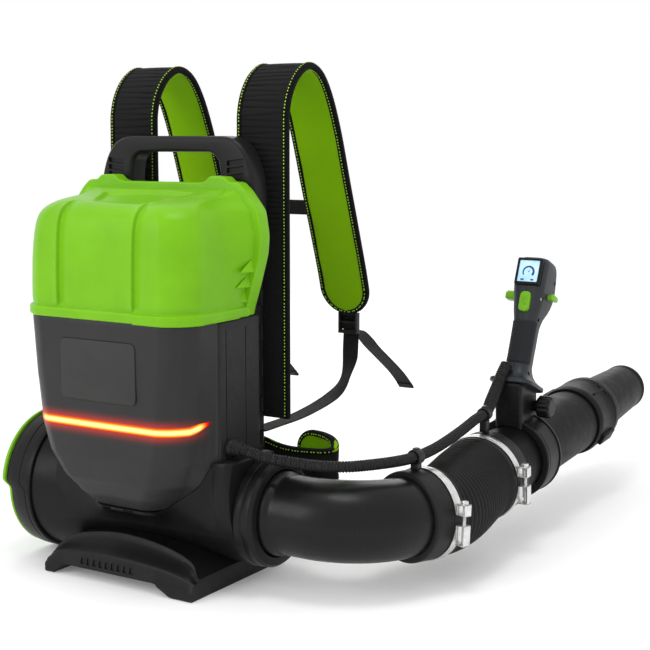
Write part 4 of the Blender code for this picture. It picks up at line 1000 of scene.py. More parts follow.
def lid_gussets():
    """Three wedges a side, between the flange and the dome."""
    parts = []
    for side in (1, -1):
        for z in (0.3540, 0.3725, 0.3910):
            out = flange_half(z + 0.004) - 0.0042
            top, low = (out - 0.0026, -0.0118, z + 0.0140), (out + 0.0004, -0.0118, z - 0.0030)
            tip, heel = (out - 0.0062, -0.0335, z - 0.0030), (out - 0.0150, -0.0118, z - 0.0030)
            bm = bmesh.new()
            a, b, c, d = (bm.verts.new((side * x, y, h)) for x, y, h in (top, low, tip, heel))
            for corners in ((a, b, c), (a, c, d), (b, d, c), (a, d, b)):
                bm.faces.new(corners)
            bmesh.ops.bevel(bm, geom=bm.edges[:], offset=0.0006, segments=2, affect="EDGES", profile=0.5,
                clamp_overlap=True)
            parts.append(mesh_object("fin", bm))
    show(joined("lid_gussets", parts), "body", "cover_green", "top_cover")


def frame_ring(name, outer, inner, low, high, edge):
    """A flat ring between two outlines in XZ, with a rounded section. Depth runs along Y."""
    def even(outline, count):
        points = [Vector((p[0], p[1])) for p in outline]
        reach = [0.0]
        for a, b in zip(points, points[1:] + points[:1]):
            reach.append(reach[-1] + (b - a).length)
        made, at = [], 0
        for step in range(count):
            want = reach[-1] * step / count
            while reach[at + 1] < want:
                at += 1
            part = (want - reach[at]) / max(reach[at + 1] - reach[at], 1e-9)
            made.append(points[at].lerp(points[(at + 1) % len(points)], part))
        return made
    outer = even(outer, 220)
    dense = even(inner, 1800)
    centre = Vector((0, (min(p.y for p in dense) + max(p.y for p in dense)) / 2))
    stations = []
    for point in outer:
        way = (point - centre).normalized()
        best = max(dense, key=lambda p: (p - centre).normalized().dot(way))
        stations.append((point, best))
    rows = []
    for out, inn in stations:
        reach = (inn - out).length
        bend = min(edge, reach * 0.45)
        way = (inn - out) / reach
        section = []
        for u, v, quarter in ((0, 0, 2), (reach, 0, 3), (reach, high - low, 0), (0, high - low, 1)):
            cu = bend if u == 0 else u - bend
            cv = bend if v == 0 else v - bend
            for k in range(6):
                a = math.pi / 2 * (quarter + k / 5)
                section.append((cu + bend * math.cos(a), cv + bend * math.sin(a)))
        rows.append([Vector((out.x + way.x * u, low + v, out.y + way.y * u)) for u, v in section])
    return surface(name, rows, loop=True)


def top_handle():
    half = mm((78, 549), (96, 543), (110, 527), (119, 503), (122, 480), (122, 445))
    outer = rounded(half + [(-x, z) for x, z in half[::-1]], 0.013, steps=6)
    opening = mm((56, 529), (67, 520), (70, 500), (70, 472), (62, 464))
    inner = rounded(opening + [(-x, z) for x, z in opening[::-1]], 0.007, steps=6)
    handle = frame_ring("top_handle", outer, inner, 0.016, 0.048, 0.0062)
    cuts = []
    for side in (-1, 1):
        cuts.append(slab("lighten", rounded([(side * 0.083, 0.446), (side * 0.109, 0.446), (side * 0.109,
            0.498), (side * 0.100, 0.504), (side * 0.083, 0.504)], 0.004), 0.030, facing(0.046), 0.001))
        for k in range(3):
            z, lean = 0.4965 + k * 0.0088, side * 0.0016
            line = [(side * 0.094 - 0.0125, z - lean), (side * 0.094 + 0.0125, z + lean),
                (side * 0.094 + 0.0125, z + 0.0064 + lean), (side * 0.094 - 0.0125, z + 0.0064 - lean)]
            cuts.append(slab("notch", rounded(line, 0.0012), 0.0064, facing(0.0160), 0))
    carved(handle, cuts)
    show(handle, "body", "handle_black", "carry_handle", 34)


def harness_frame():
    back = block("harness_frame", (-0.112, 0.0203, 0.115), (0.112, 0.0555, 0.4447), 0.010, steps=5)
    cuts = [fan_cutter()]
    for low, high in ((0.175, 0.270), (0.300, 0.395)):
        cuts.append(slab("window", rectangle(-0.070, low, 0.070, high, 0.012), 0.10, facing(0.040), 0))
    for side in (-1, 1):
        cuts.append(slab("channel", rectangle(side * 0.088, 0.150, side * 0.104, 0.425, 0.006), 0.030,
            facing(0.0455), 0.001))
        for z in (0.160, 0.205, 0.250, 0.295, 0.340, 0.385):
            cuts.append(block("slot", (side * 0.1125 - 0.0022, 0.028, z), (side * 0.1125 + 0.0022, 0.048,
                z + 0.022), 0.0018))
    carved(back, cuts)
    show(back, "body", "foot_black", "back_frame", 34)


def foot():
    crest = [Vector(row) for row in mm((-120, 16, -100), (-100, 42, -86), (-60, 53, -80), (-10, 57, -78),
        (50, 52, -80), (95, 40, -84), (113, 24, -94))]
    rows = []
    for x, top, rear in smooth_line(crest, 0.0045):
        row = mm((-106.5, 0), (86.5, 0), (88, 1.5), (88, 11.5), (86.8, 13.5))
        row += [(0.068 + (0.0868 - 0.068) * (1 - t), 0.0135 + (top - 0.0135) * t) for t in (0.3, 0.6, 0.9)]
        row += [(0.0655, top), (0.03, top + 0.0004), (-0.03, top + 0.0004), (rear + 0.0045, top)]
        row += [(rear + 0.0022, top + 0.0010), (rear + 0.0004, top + 0.0006), (rear - 0.0008, top - 0.0010),
            (rear - 0.0016, top - 0.0034)]
        shelf = 0.0125 + (top - 0.0125) * 0.50
        base = rear - 0.0016
        row += [(base + (-0.1020 - base) * t + 0.0026 * math.sin(math.pi * t),
            top - 0.0034 + (shelf + 0.0024 - top + 0.0034) * t) for t in (0.25, 0.5, 0.75, 1.0)]
        row += [(-0.1040, shelf + 0.0008), (-0.1048, shelf - 0.0012)]
        row += mm((-106.2, 12.5), (-108, 10.5), (-108, 1.5))
        rows.append([Vector((x, y, z)) for y, z in row])
    item = surface("ground_foot", rows)
    cuts = [fan_cutter()]
    for y in (-0.085, 0.085):
        outline = rounded(mm((-107, -10), (-107, 1), (-94, 13.5), (56, 13.5), (83, -0.5), (83, -10)), 0.004)
        cuts.append(slab("arch", outline, 0.070, facing(y), 0))
    for index in range(9):
        x = -0.062 + 0.0098 * index
        lean = 0.0014
        line = [(x, 0.0185), (x + 0.0056, 0.0185), (x + 0.0056 + lean, 0.0272), (x + lean, 0.0272)]
        cuts.append(slab("mark", rounded(line, 0.0012), 0.004, facing(-0.1062), 0))
    carved(item, cuts)
    show(item, "body", "foot_black", "base_foot", 30)

    parts = []
    for x, y in mm((-112, -100), (103, -100), (-112, 78), (103, 78)):
        parts.append(block("sole", (x - 0.006, y - 0.007, 0.0001), (x + 0.006, y + 0.007, 0.0030), 0.0012))
    show(joined("foot_soles", parts), "body", "rubber_black")


# ---- harness -----------------------------------------------------------------------------------
STRAP_LINE = mm((59, 196), (59, 300), (59, 420), (59, 545), (61, 583), (72, 610), (91, 630), (116, 640),
    (143, 631), (166, 604), (189, 556), (214, 485), (238, 418), (258, 360), (272, 310))
BELT_LINE = mm((64, 67.5), (100, 79), (145, 90), (170, 98), (180, 114), (170, 131), (144, 142), (108, 144))


def band_section(width, thick, crown=0.0, edge=0.5):
    """A band's outline across (u) and through (v): the outer face first, then the inner one."""
    half = width / 2
    round_off = min(thick * edge, half * 0.5)
    points = []
    count = 12
    for k in range(count + 1):
        u = (half - round_off) * (1 - 2 * k / count)
        points.append((u, thick / 2 + crown * (1 - (u / half) ** 2)))
    for k in range(1, 6):
        a = math.pi / 2 + math.pi * k / 6
        points.append((-half + round_off + round_off * math.cos(a), thick / 2 * math.sin(a)))
    for k in range(count + 1):
        u = -(half - round_off) * (1 - 2 * k / count)
        points.append((u, -thick / 2 - crown * (1 - (u / half) ** 2)))
    for k in range(1, 6):
        a = -math.pi / 2 + math.pi * k / 6
        points.append((half - round_off + round_off * math.cos(a), thick / 2 * math.sin(a)))
    return points, count + 3


def band(name, line, across, section, width_at=None, relief=None, split=None):
    """A flexible band: its section carried along a line. across(i) is its unit width direction."""
    ways = directions(line)
    reach = [0.0]
    for a, b in zip(line, line[1:]):
        reach.append(reach[-1] + (b - a).length)
    spots = [0.0]
    for a, b in zip(section, section[1:] + section[:1]):
        spots.append(spots[-1] + math.dist(a, b))
    rows = []
    for index, (point, way) in enumerate(zip(line, ways)):
        side = across(index) if callable(across) else Vector(across)
        side = (side - way * side.dot(way)).normalized()
        out = side.cross(way).normalized()
        factor = width_at(reach[index], reach[-1]) if width_at else 1.0
        row = []
        for u, v in section:
            lift = relief(reach[index], reach[-1], u, v) if relief else 0.0
            row.append(point + side * u * factor + out * (v + lift))
        rows.append(row)
    return surface(name, rows, lengths=(reach, spots), split=split)


def offset_line(line, across, amount):
    """A line moved sideways, square to itself and to the width direction."""
    ways = directions(line)
    side = Vector(across)
    return [p + side.cross(w).normalized() * amount for p, w in zip(line, ways)]


STRAP_CENTRE = 0.103
STRAP_HALF, BINDING_IN = 0.0372, 0.0338         # half width of the pad, and of the tape's path
THREAD_PITCH, THREAD_LENGTH, THREAD_R = 0.0042, 0.0021, 0.00068


def strap_taper(at, total):
    """The pad keeps its width and ends in a half circle."""
    end = total - at
    if end >= STRAP_HALF:
        return 1.0
    return max(0.16, math.sqrt(max(0.0, 1 - ((STRAP_HALF - end) / STRAP_HALF) ** 2)))


def edging(name, path, section, body):
    """A tape along a path of (point, direction, surface normal)."""
    rows, reach = [], [0.0]
    for index, (point, way, out) in enumerate(path):
        side = way.cross(out).normalized()
        out = side.cross(way).normalized()
        if index:
            reach.append(reach[-1] + (point - path[index - 1][0]).length)
        rows.append([point + side * u + out * v for u, v in section])
    spots = [0.0]
    for a, b in zip(section, section[1:] + section[:1]):
        spots.append(spots[-1] + math.dist(a, b))
    item = surface(name, rows, lengths=(reach, spots))
    show(item, body, "binding_black", sharp=60)


def threads(name, path, lift, body):
    """Stitching: short threads lying on a surface along a path of (point, direction, normal)."""
    bm = bmesh.new()
    want, reach = THREAD_PITCH, 0.0
    for (p, way, out), (q, _, _) in zip(path, path[1:]):
        reach += (q - p).length
        if reach < want:
            continue
        want += THREAD_PITCH
        side = way.cross(out).normalized()
        angles = [math.pi / 3 * k for k in range(6)]
        spokes = [side * math.cos(a) * 1.2 + out * math.sin(a) for a in angles]
        made = []
        for t, r in ((-0.5, 0.25), (-0.3, 0.9), (0, 1.1), (0.3, 0.9), (0.5, 0.25)):
            centre = p + out * lift + way * THREAD_LENGTH * t
            made.append([bm.verts.new(centre + spoke * THREAD_R * r) for spoke in spokes])
        for one, two in zip(made, made[1:]):
            for k in range(6):
                bm.faces.new((one[k], one[(k + 1) % 6], two[(k + 1) % 6], two[k]))
        bm.faces.new(made[0])
        bm.faces.new(made[-1])
    show(mesh_object(name, bm), body, "thread_lime")


def edge_path(middle, across, half):
    """Along one edge of a band, round its end in a half circle, and back along the other edge."""
    ways = directions(middle)
    reach = [0.0]
    for a, b in zip(middle, middle[1:]):
        reach.append(reach[-1] + (b - a).length)
    keep = [i for i, at in enumerate(reach) if reach[-1] - at > half]
    out_of = [across.cross(w).normalized() for w in ways]
    one = [(middle[i] + across * half, ways[i], out_of[i]) for i in keep]
    last = keep[-1]
    centre, way, out = middle[last] + ways[last] * 0.0006, ways[last], out_of[last]
    turn = []
    for k in range(1, 40):
        a = math.pi * k / 40
        turn.append((centre + across * half * math.cos(a) + way * half * math.sin(a),
            (way * math.cos(a) - across * math.sin(a)).normalized(), out))
    other = [(middle[i] - across * half, -ways[i], out_of[i]) for i in keep[::-1]]
    return one + turn + other


def pleats_of(side):
    """The folds where a strap bends over: each one's place, slant, depth and inner end."""
    chance = random.Random(11 if side > 0 else 23)
    pleats = []
    at = 0.236
    while at < 0.452:
        pleats.append((at, chance.uniform(-0.06, 0.06), chance.uniform(0.0014, 0.0026),
            chance.uniform(-0.034, -0.006) * side))
        at += chance.uniform(0.0058, 0.0092)
    return pleats


def strap_pad(word, side, centre):
    line = even_line([Vector((centre, y, z)) for y, z in STRAP_LINE], 0.0010)
    across = Vector((1, 0, 0))
    # the section's outer side faces away from the wearer
    middle = offset_line(line, across, -0.0041)
    section, split = band_section(0.0745, 0.0066, 0.0006)

    pleats = pleats_of(side)

    def relief(at, total, u, v):
        if v <= 0:
            return -0.0003 * math.sin(at / 0.013)
        edge = max(0.0, 1 - (abs(u) / 0.0345) ** 6)
        lift = 0.0
        if 0.230 < at < 0.460:
            for spot, slope, deep, stop in pleats:
                off = at - spot - slope * u
                if abs(off) < 0.004:
                    strong = 0.45 + 0.55 * soft((u - stop) * -side, 0.004)
                    lift -= deep * strong * math.exp(-(off / 0.0013) ** 2)
                    lift += 0.0005 * strong * math.exp(-((off - 0.0020) / 0.0014) ** 2)
        elif at > 0.52:
            lift = 0.0003 * math.sin(at * 240 + u * 90)
        return lift * edge

    pad = band("shoulder_pad_" + word, middle, across, section, strap_taper, relief, split)
    show(pad, "body", "strap_black", "shoulder_strap_" + word, sharp=60, second="strap_lime")

    tape, _ = band_section(0.0094, 0.0084, 0.0003, 0.5)
    path = edge_path(middle, across, BINDING_IN)
    edging("binding_" + word, path, tape, "body")
    for face in (1, -1):
        threads(f"stitch_{word}_{'outer' if face > 0 else 'inner'}", [(p, w, o * face) for p, w, o in path],
            0.0045, "body")


def ladder_lock(word, centre):
    lift = [block("ladder", (centre - 0.015, 0.2662, 0.2768), (centre - 0.0125, 0.2758, 0.3062), 0.0011),
        block("ladder", (centre + 0.0125, 0.2662, 0.2768), (centre + 0.015, 0.2758, 0.3062), 0.0011)]
    for z, deep in mm((279, 2.2), (291.6, 2.6), (304, 2.2)):
        lift.append(rod("bar", (centre - 0.0140, 0.2710, z), (centre + 0.0140, 0.2710, z), deep, 20,
            0.0006))
    lift.append(block("lip", (centre - 0.015, 0.2660, 0.2765), (centre + 0.015, 0.2690, 0.2800), 0.0010,
        None))
    show(joined("ladder_lock_" + word, lift), "body", "buckle_black", "strap_adjuster_" + word, sharp=34)


def strap_webbing(word, side, centre):
    across = Vector((1, 0, 0))
    flat, _ = band_section(0.0250, 0.0021, 0.0, 0.5)
    down = mm((270.8, 319), (272.2, 308), (273.8, 298.5), (276, 290.5), (277.5, 280), (276, 260),
        (273.8, 238), (264, 218), (248, 204), (225, 194.5), (195.5, 188.5), (170, 185), (146, 182.5),
        (120, 181), (85, 180.5), (60, 180), (48, 180))
    path = even_line([Vector((centre, y, z)) for y, z in down], 0.0035)
    total = len(path)

    def turn(index):
        """The strap rolls part-way over where it leaves the adjuster's run."""
        t = index / total
        roll = 0.75 * math.exp(-((t - 0.30) / 0.085) ** 2) * side
        return Vector((math.cos(roll), 0, math.sin(roll)))

    main = band("webbing_main_" + word, path, turn, flat)
    tail = mm((276, 292.5), (270, 287), (279, 280.5), (296, 276), (316, 264), (336, 249), (370, 227),
        (404, 204.5), (424, 189), (440, 174.5))
    path = even_line([Vector((centre, y, z)) for y, z in tail], 0.0035)
    free = band("webbing_tail_" + word, path, across, flat)
    show(main, "body", "webbing_black", "strap_webbing_" + word, sharp=60)
    show(free, "body", "webbing_black", sharp=60)
    fold = band("webbing_hem_" + word, path[-4:], across, band_section(0.0252, 0.0040, 0.0, 0.5)[0])
    show(fold, "body", "webbing_black", sharp=60)


def shoulder_straps():
    for word, side in (("right", 1), ("left", -1)):
        centre = side * STRAP_CENTRE
        strap_pad(word, side, centre)
        ladder_lock(word, centre)
        strap_webbing(word, side, centre)


def sternum():
    y, z = 0.22975, 0.452
    flat, _ = band_section(0.0200, 0.0019, 0.0, 0.5)
    for word, low, high in (("right", 0.012, 0.0690), ("left", -0.0690, -0.012)):
        line = even_line([Vector((low, y, z)), Vector(((low + high) / 2, y + 0.0005, z)),
            Vector((high, y, z))], 0.004)
        show(band("chest_web_" + word, line, Vector((0, 0, 1)), flat), "body", "webbing_black",
            "sternum_webbing", sharp=60)
    parts = [block("shell", (-0.0215, y - 0.0050, z - 0.0150), (0.0060, y + 0.0050, z + 0.0150), 0.0034),
        block("plug", (0.0075, y - 0.0042, z - 0.0140), (0.0215, y + 0.0042, z + 0.0140), 0.0028),
        block("prong", (-0.0120, y - 0.0030, z + 0.0115), (0.0090, y + 0.0030, z + 0.0165), 0.0014),
        block("prong", (-0.0120, y - 0.0030, z - 0.0165), (0.0090, y + 0.0030, z - 0.0115), 0.0014),
        block("tongue", (0.0040, y - 0.0030, z - 0.0040), (0.0100, y + 0.0030, z + 0.0040), 0.0010)]
    for x in (-0.0175, 0.0165):
        parts.append(block("grip", (x, y - 0.0056, z - 0.0100), (x + 0.0016, y + 0.0056, z + 0.0100),
            0.0006))
    show(joined("side_release_buckle", parts), "body", "buckle_black", "sternum_buckle")


def belts():
    for word, side in (("right", 1), ("left", -1)):
        line = even_line([Vector((side * x, y, 0.144)) for x, y in BELT_LINE], 0.0018)
        up = Vector((0, 0, 1))
        # the belt lies inside its line at the curl, towards the loop's middle
        trial = offset_line(line, up, 0.0050)
        loop = Vector((side * 0.130, 0.118, 0.144))
        index = int(len(line) * 0.45)
        sign = 1 if (trial[index] - loop).length < (line[index] - loop).length else -1
        middle = offset_line(line, up, 0.0050 * sign)
        section, split = band_section(0.0470, 0.0084, 0.0006)
        facing = up.cross(directions(middle)[index]).dot(middle[index] - loop)
        if facing < 0:
            section = [(u, -v) for u, v in section]
        flip = 1 if facing > 0 else -1

        def taper(at, total):
            end = total - at
            return 1.0 if end > 0.0235 else max(0.16,
                math.sqrt(max(0.0, 1 - ((0.0235 - end) / 0.0235) ** 2)))

        def relief(at, total, u, v):
            return 0.0005 * math.sin(at * 190 + u * 45) * flip * max(0.0, 1 - (abs(u) / 0.022) ** 4)

        def drop(point):
            """The near side of the curl sits lower, so its lining shows over it."""
            return -0.0160 * soft(0.126 - point.y, 0.007) * soft(abs(point.x) - 0.098, 0.010)

        middle = [p + Vector((0, 0, drop(p))) for p in middle]
        pad = band("hip_pad_" + word, middle, up, section, taper, relief, split)
        show(pad, "body", "strap_black", "waist_belt_" + word, sharp=60, second="strap_lime")
        tape, _ = band_section(0.0086, 0.0098, 0.0003, 0.5)
        path = edge_path(middle, up, 0.0202)
        edging("hip_binding_" + word, path, tape, "body")
        for face in (1, -1):
            threads(f"hip_stitch_{word}_{'outer' if face > 0 else 'inner'}", [(p, w, o * face) for p, w,
                o in path], 0.0052, "body")


def puffed(item, pressure, cap):
    """A stuffed form: the shape swollen by cloth under pressure, with its movement capped."""
    change = item.modifiers.new("remesh", "REMESH")
    change.mode, change.voxel_size = "VOXEL", 0.005
    baked(item)
    before = [v.co.copy() for v in item.data.vertices]
    change = item.modifiers.new("fabric", "CLOTH")
    fabric = change.settings
    fabric.use_pressure, fabric.uniform_pressure_force = True, pressure
    fabric.effector_weights.gravity = 0
    fabric.quality, fabric.mass = 6, 0.2
    change.point_cache.frame_start, change.point_cache.frame_end = 1, 20
    for step in range(1, 21):
        bpy.context.scene.frame_set(step)
    baked(item)
    bpy.context.scene.frame_set(1)
    for vert, was in zip(item.data.vertices, before):
        move = vert.co - was
        if move.length > cap:
            vert.co = was + move.normalized() * cap
    bm = bmesh.new()
    bm.from_mesh(item.data)
    for _ in range(3):
        bmesh.ops.smooth_vert(bm, verts=bm.verts, factor=0.5, use_axis_x=True, use_axis_y=True,
            use_axis_z=True)
    bm.to_mesh(item.data)
    bm.free()
    change = item.modifiers.new("finer", "SUBSURF")
    change.levels = change.render_levels = 1
    return baked(item)


def pad():
    item = block("spine_pad", (-0.0555, 0.0580, 0.1530), (0.0555, 0.0785, 0.4270), 0.0095, steps=3)
    puffed(item, 4.0, 0.0045)
    for vert in item.data.vertices:
        co = vert.co
        if co.y < 0.0560:
            co.y = 0.0560 + (co.y - 0.0560) * 0.05
        if co.y > 0.066:
            # sewn air channels: two upright ones and three across
            groove = max(math.exp(-((abs(co.x) - 0.020) / 0.0028) ** 2),
                *(math.exp(-((co.z - z) / 0.0030) ** 2) for z in (0.222, 0.290, 0.358)))
            co.y -= 0.0042 * groove * min(1.0, (co.y - 0.066) / 0.008)
    show(item, "body", "foam_black", "back_pad", sharp=180)
    low, high = 0.1535, 0.4265
    rim = rectangle(-0.0545, low, 0.0545, high, 0.012, steps=6)
    line = [Vector((p[0], 0.0640, p[1])) for p in rim]
    line.append(line[0].copy())
    line = even_line(line, 0.006)
    tape = swept("spine_piping", line, [0.0024] * len(line), 12, caps=False)
    show(tape, "body", "binding_black", sharp=60)


# ---- hose line ---------------------------------------------------------------------------------
def elbow_point(angle):
    out = BEND_R * (1 - math.cos(angle))
    return Vector((ELBOW_X + BEND_R * math.sin(angle), out * math.cos(DROOP),
        FAN_Z + out * math.sin(DROOP)))


ELBOW_END = elbow_point(TURN)
ELBOW_OUT = Vector((math.cos(TURN), math.sin(TURN) * math.cos(DROOP), math.sin(TURN) * math.sin(DROOP)))
LINE_OUT = Vector((0, math.cos(PITCH), math.sin(PITCH)))
LEVEL = Vector((ELBOW_OUT.y, -ELBOW_OUT.x, 0)).normalized()
HOSE_REAR = Matrix.Translation(ELBOW_END) @ Matrix((LEVEL, ELBOW_OUT.cross(LEVEL),
    ELBOW_OUT)).transposed().to_4x4()


def elbow():
    start = FAN_RIGHT + 0.0012
    path, radii = [], []
    for x, r in ((start, 0.0560), (start + 0.0010, 0.0575), (start + 0.0036, 0.0575), (start + 0.0042,
            0.0560), (start + 0.0045, 0.0522), (start + 0.0240, 0.0520), (start + 0.0300, 0.0517),
            (start + 0.0325, 0.0500), (start + 0.0345, TUBE_R)):
        path.append(Vector((x, 0, FAN_Z)))
        radii.append(r)
    for k in range(1, 6):
        path.append(Vector((start + 0.0345 + (ELBOW_X - start - 0.0345) * k / 6, 0, FAN_Z)))
        radii.append(TUBE_R)
    steps = 40
    for k in range(steps + 1):
        path.append(elbow_point(TURN * k / steps))
        radii.append(TUBE_R + 0.0006 * math.sin(math.pi * k / steps))
    for k in (0.2, 0.5, 0.8, 1.0):
        path.append(ELBOW_END + ELBOW_OUT * 0.050 * k)
        radii.append(TUBE_R)
    item = swept("bent_duct", path, radii, 96, bore=0.0462)
    # the parting line of the two mould halves, along the top and the bottom
    for vert in item.data.vertices:
        co = vert.co
        if co.x < 0.1900:
            continue
        spot = min(path[9:], key=lambda p: (p - co).length_squared)
        off = co - spot
        if off.length > 0.0475 and abs(off.z) > off.length * 0.9985:
            vert.co += off.normalized() * 0.0005
    show(item, "elbow", "tube_black", "elbow_tube", sharp=34)


def hose_cuffs():
    profile = mm((49.3, 6), (54.5, 6), (55.6, 6.6), (56.4, 8.5), (56.6, 11), (56.6, 33), (56, 33.8),
        (56, 35), (56.5, 35.6), (56.5, 48.4), (56, 49), (56.8, 50), (57.2, 51.5), (56.8, 54), (55.2, 56),
        (49.3, 56))
    show(turned("rear_cuff", profile, HOSE_REAR, 112), "elbow", "rubber_black", "hose_cuff_rear", sharp=34)
    profile = mm((48.3, -14), (55, -14), (56.6, -12.5), (57, -10.5), (56.6, -8.8), (56, -8), (56.5, -7.2),
        (56.5, 6.4), (56, 7), (56, 8.2), (56.6, 9), (56.6, 29), (56.2, 31.2), (55, 33), (53, 34),
        (48.3, 34))
    show(turned("front_cuff", profile, LINE, 112), "blower_tube", "rubber_black", "hose_cuff_front",
        sharp=34)


def clamp(word, frame_at, middle, body):
    low, high = middle - 0.0060, middle + 0.0060
    inner = 0.0568
    outline = rectangle(inner, low, inner + 0.0013, high, 0.0004)
    rows, steps = [], 140
    # open between the two lugs, at the clamp's right side
    first, last = math.radians(3.0), math.radians(350.0)
    for step in range(steps + 1):
        a = first + (last - first) * step / steps
        rows.append([frame_at @ polar(p[0], a, p[1]) for p in outline])
    parts = [surface("strip", rows)]
    ridge = rounded([(inner + 0.0009, middle - 0.0012), (inner + 0.0017, middle - 0.0006), (inner + 0.0017,
        middle + 0.0006), (inner + 0.0009, middle + 0.0012)], 0.0002)
    parts.append(surface("bead", [[frame_at @ polar(p[0], a, p[1]) for p in ridge]
        for a in (first + 0.2 + (last - first - 0.5) * k / 120 for k in range(121))]))
    for near, far in ((-0.024, -0.0095), (0.0015, 0.027)):
        # each lug is a folded box: two walls, the fold outside, and a foot on the strip
        for inside, start, outside, stop in ((-0.0002, near, 0.0135, near + 0.0016), (-0.0002, far - 0.0016,
                0.0135, far), (0.0118, near, 0.0135, far), (-0.0002, near, 0.0014, far)):
            parts.append(block("lug", (inner + inside, start, low), (inner + outside, stop, high), 0.0006,
                frame_at))
    show(joined("clamp_strip_" + word, parts), body, "clamp_steel", "clamp_band_" + word, sharp=34)

    x = inner + 0.0077
    place = frame_at @ Matrix.Translation((x, 0, middle)) @ Matrix.Rotation(math.pi / 2, 4, "X")
    shank = mm((0.4, -28.5), (2.1, -28.5), (2.5, -27.8))
    z = -0.0270
    while z < 0.0230:
        shank += [(0.0025, z), (0.0022, z + 0.0004)]
        z += 0.0008
    shank += mm((2.5, 23.6), (4.2, 24), (4.5, 24.6), (4.5, 27), (4, 28), (0.4, 28.4))
    bolt = turned("bolt", shank, place, 24, closed=False)
    nut = turned("nut", mm((2.4, -27.2), (4.6, -27.2), (5, -26.2), (5, -24.8), (4.6, -24.1), (2.4, -24.1)),
        place, 6)
    show(joined("clamp_screw_" + word, [bolt, nut]), body, "clamp_steel", "clamp_bolt_" + word, sharp=30)


def bellows():
    start = ELBOW_END + ELBOW_OUT * 0.0560
    end = LINE_START - LINE_OUT * 0.0140
    reach = (end - start).length
    ridges, fine = 21, 10
    count = ridges * fine
    line, radii = [], []
    for step in range(count + 1):
        t = step / count
        ease = 3 * t ** 2 - 2 * t ** 3
        leave, arrive = t - 2 * t ** 2 + t ** 3, t ** 3 - t ** 2
        line.append(start * (1 - ease) + end * ease + ELBOW_OUT * reach * leave + LINE_OUT * reach * arrive)
        wave = 0.5 - 0.5 * math.cos(2 * math.pi * ridges * t)
        radii.append(0.0518 + 0.0042 * wave ** 0.8)
    radii[0] = radii[-1] = 0.0516
    item = swept("flexible_hose", line, radii, 96, bore=0.0476)
    show(item, None, "rubber_black", "hose_bellows", sharp=60)
    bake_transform(item)


def tubes():
    profile = [(MID_R, MID_END - 0.0004), (MID_R, 0.3000)]
    profile += [(MID_R, 0.2990 - 0.2890 * k / 12) for k in range(13)]
    profile += [(MID_R, 0.0024), (MID_R - 0.0006, 0.0020), (MID_R - 0.0028, 0.0020), (MID_R - 0.0028,
        MID_END - 0.0004)]
    item = turned("straight_tube", profile, LINE, 112)
    show(item, "blower_tube", "tube_matt_painted_shade", "middle_tube", 34)
    profile = mm((44.6, 392), (47, 390.5), (50.5, 386.5), (52, 384), (52.6, 380), (52.6, 373.5),
        (53, 372.5), (53, 370), (52.5, 369), (52.5, 321), (53, 320), (53, 315), (52.5, 311), (51.3, 306),
        (50, 305), (48.9, 305), (48.9, 344), (43.4, 345), (43.4, 391.5))
    parts = [turned("collar", profile, LINE, 128)]
    for side in (0, 1):
        lug = block("lug", (0.0495, -0.009, 0.318), (0.0575, 0.009, 0.362), 0.0022)
        lug.data.transform(LINE @ Matrix.Rotation(math.pi * side + 0.5, 4, "Z"))
        parts.append(lug)
    for side in (0, 1, 2):
        turn = LINE @ Matrix.Rotation(2 * math.pi * side / 3 - 0.9, 4, "Z")
        for low, high, wide in ((0.3280, 0.3640, 0.0016), (0.3625, 0.3665, 0.0095)):
            rib = block("ramp", (0.0518, -wide, low), (0.0534, wide, high), 0.0006)
            rib.data.transform(turn)
            parts.append(rib)
    show(joined("lock_collar", parts), "nozzle", "tube_matt_painted_shade", "twist_collar", 34)

    profile = [(0.0352, NOZZLE_END), (0.0362, NOZZLE_END - 0.0006), (0.0370, NOZZLE_END - 0.0020),
        (0.0370, NOZZLE_END - 0.0070), (0.0364, NOZZLE_END - 0.0080)]
    mouth = NOZZLE_END - 0.008
    for k in range(1, 14):
        t = k / 13
        profile.append((0.0364 + (0.0430 - 0.0364) * t, mouth - (mouth - 0.394) * t))
    profile += [(0.0430, 0.3450), (0.0402, 0.3450), (0.0402, 0.3940), (0.0334, NOZZLE_END)]
    show(turned("outlet_nozzle", profile, LINE, 112), "nozzle", "tube_matt_painted_shade", "nozzle", 34)


# ---- throttle handle ---------------------------------------------------------------------------
GRIP_SECTIONS = mm((0, 30, -28.6, 34), (0.8, 31.2, -29.8, 35.2), (5, 31.2, -29.8, 35.2), (6.2, 30, -28.8,
    34), (8.5, 25.8, -25, 29), (12, 22, -21.4, 24.5), (17, 19.2, -18.7, 20.8), (22, 17.7, -17.3, 18.8),
    (28, 16.5, -16.5, 17.5), (44, 16.3, -16.3, 17.6), (60, 16.4, -16.4, 17.9), (74, 16.5, -16.5, 17.6),
    (86, 16.7, -16.6, 17.8), (93, 17.5, -17.2, 18.8), (100, 18.6, -18.1, 20.4), (106, 19.7, -18.6, 24),
    (112, 20.6, -19, 28), (120, 21.6, -19.8, 31.8), (128, 22.5, -21, 33.8), (135, 23.1, -22.7, 34.3),
    (142, 23.5, -24, 34), (157, 23.6, -24.3, 31.2), (170, 23.5, -24, 28.3), (176, 22.9, -23.3, 26.2),
    (180, 21.8, -22.3, 23.8), (182, 20, -20.5, 21.2))


def grip_section(half, back, front, z):
    radius = min(half * 0.92, (front - back) * 0.44, 0.0125)
    points = []
    for x, y, quarter in ((half, front, 0), (-half, front, 1), (-half, back, 2), (half, back, 3)):
        cx = x - math.copysign(radius, x)
        cy = y + (-radius if quarter < 2 else radius)
        for k in range(10):
            a = math.pi / 2 * (quarter + k / 9)
            points.append(Vector((cx + radius * math.cos(a), cy + radius * math.sin(a), z)))
    return points


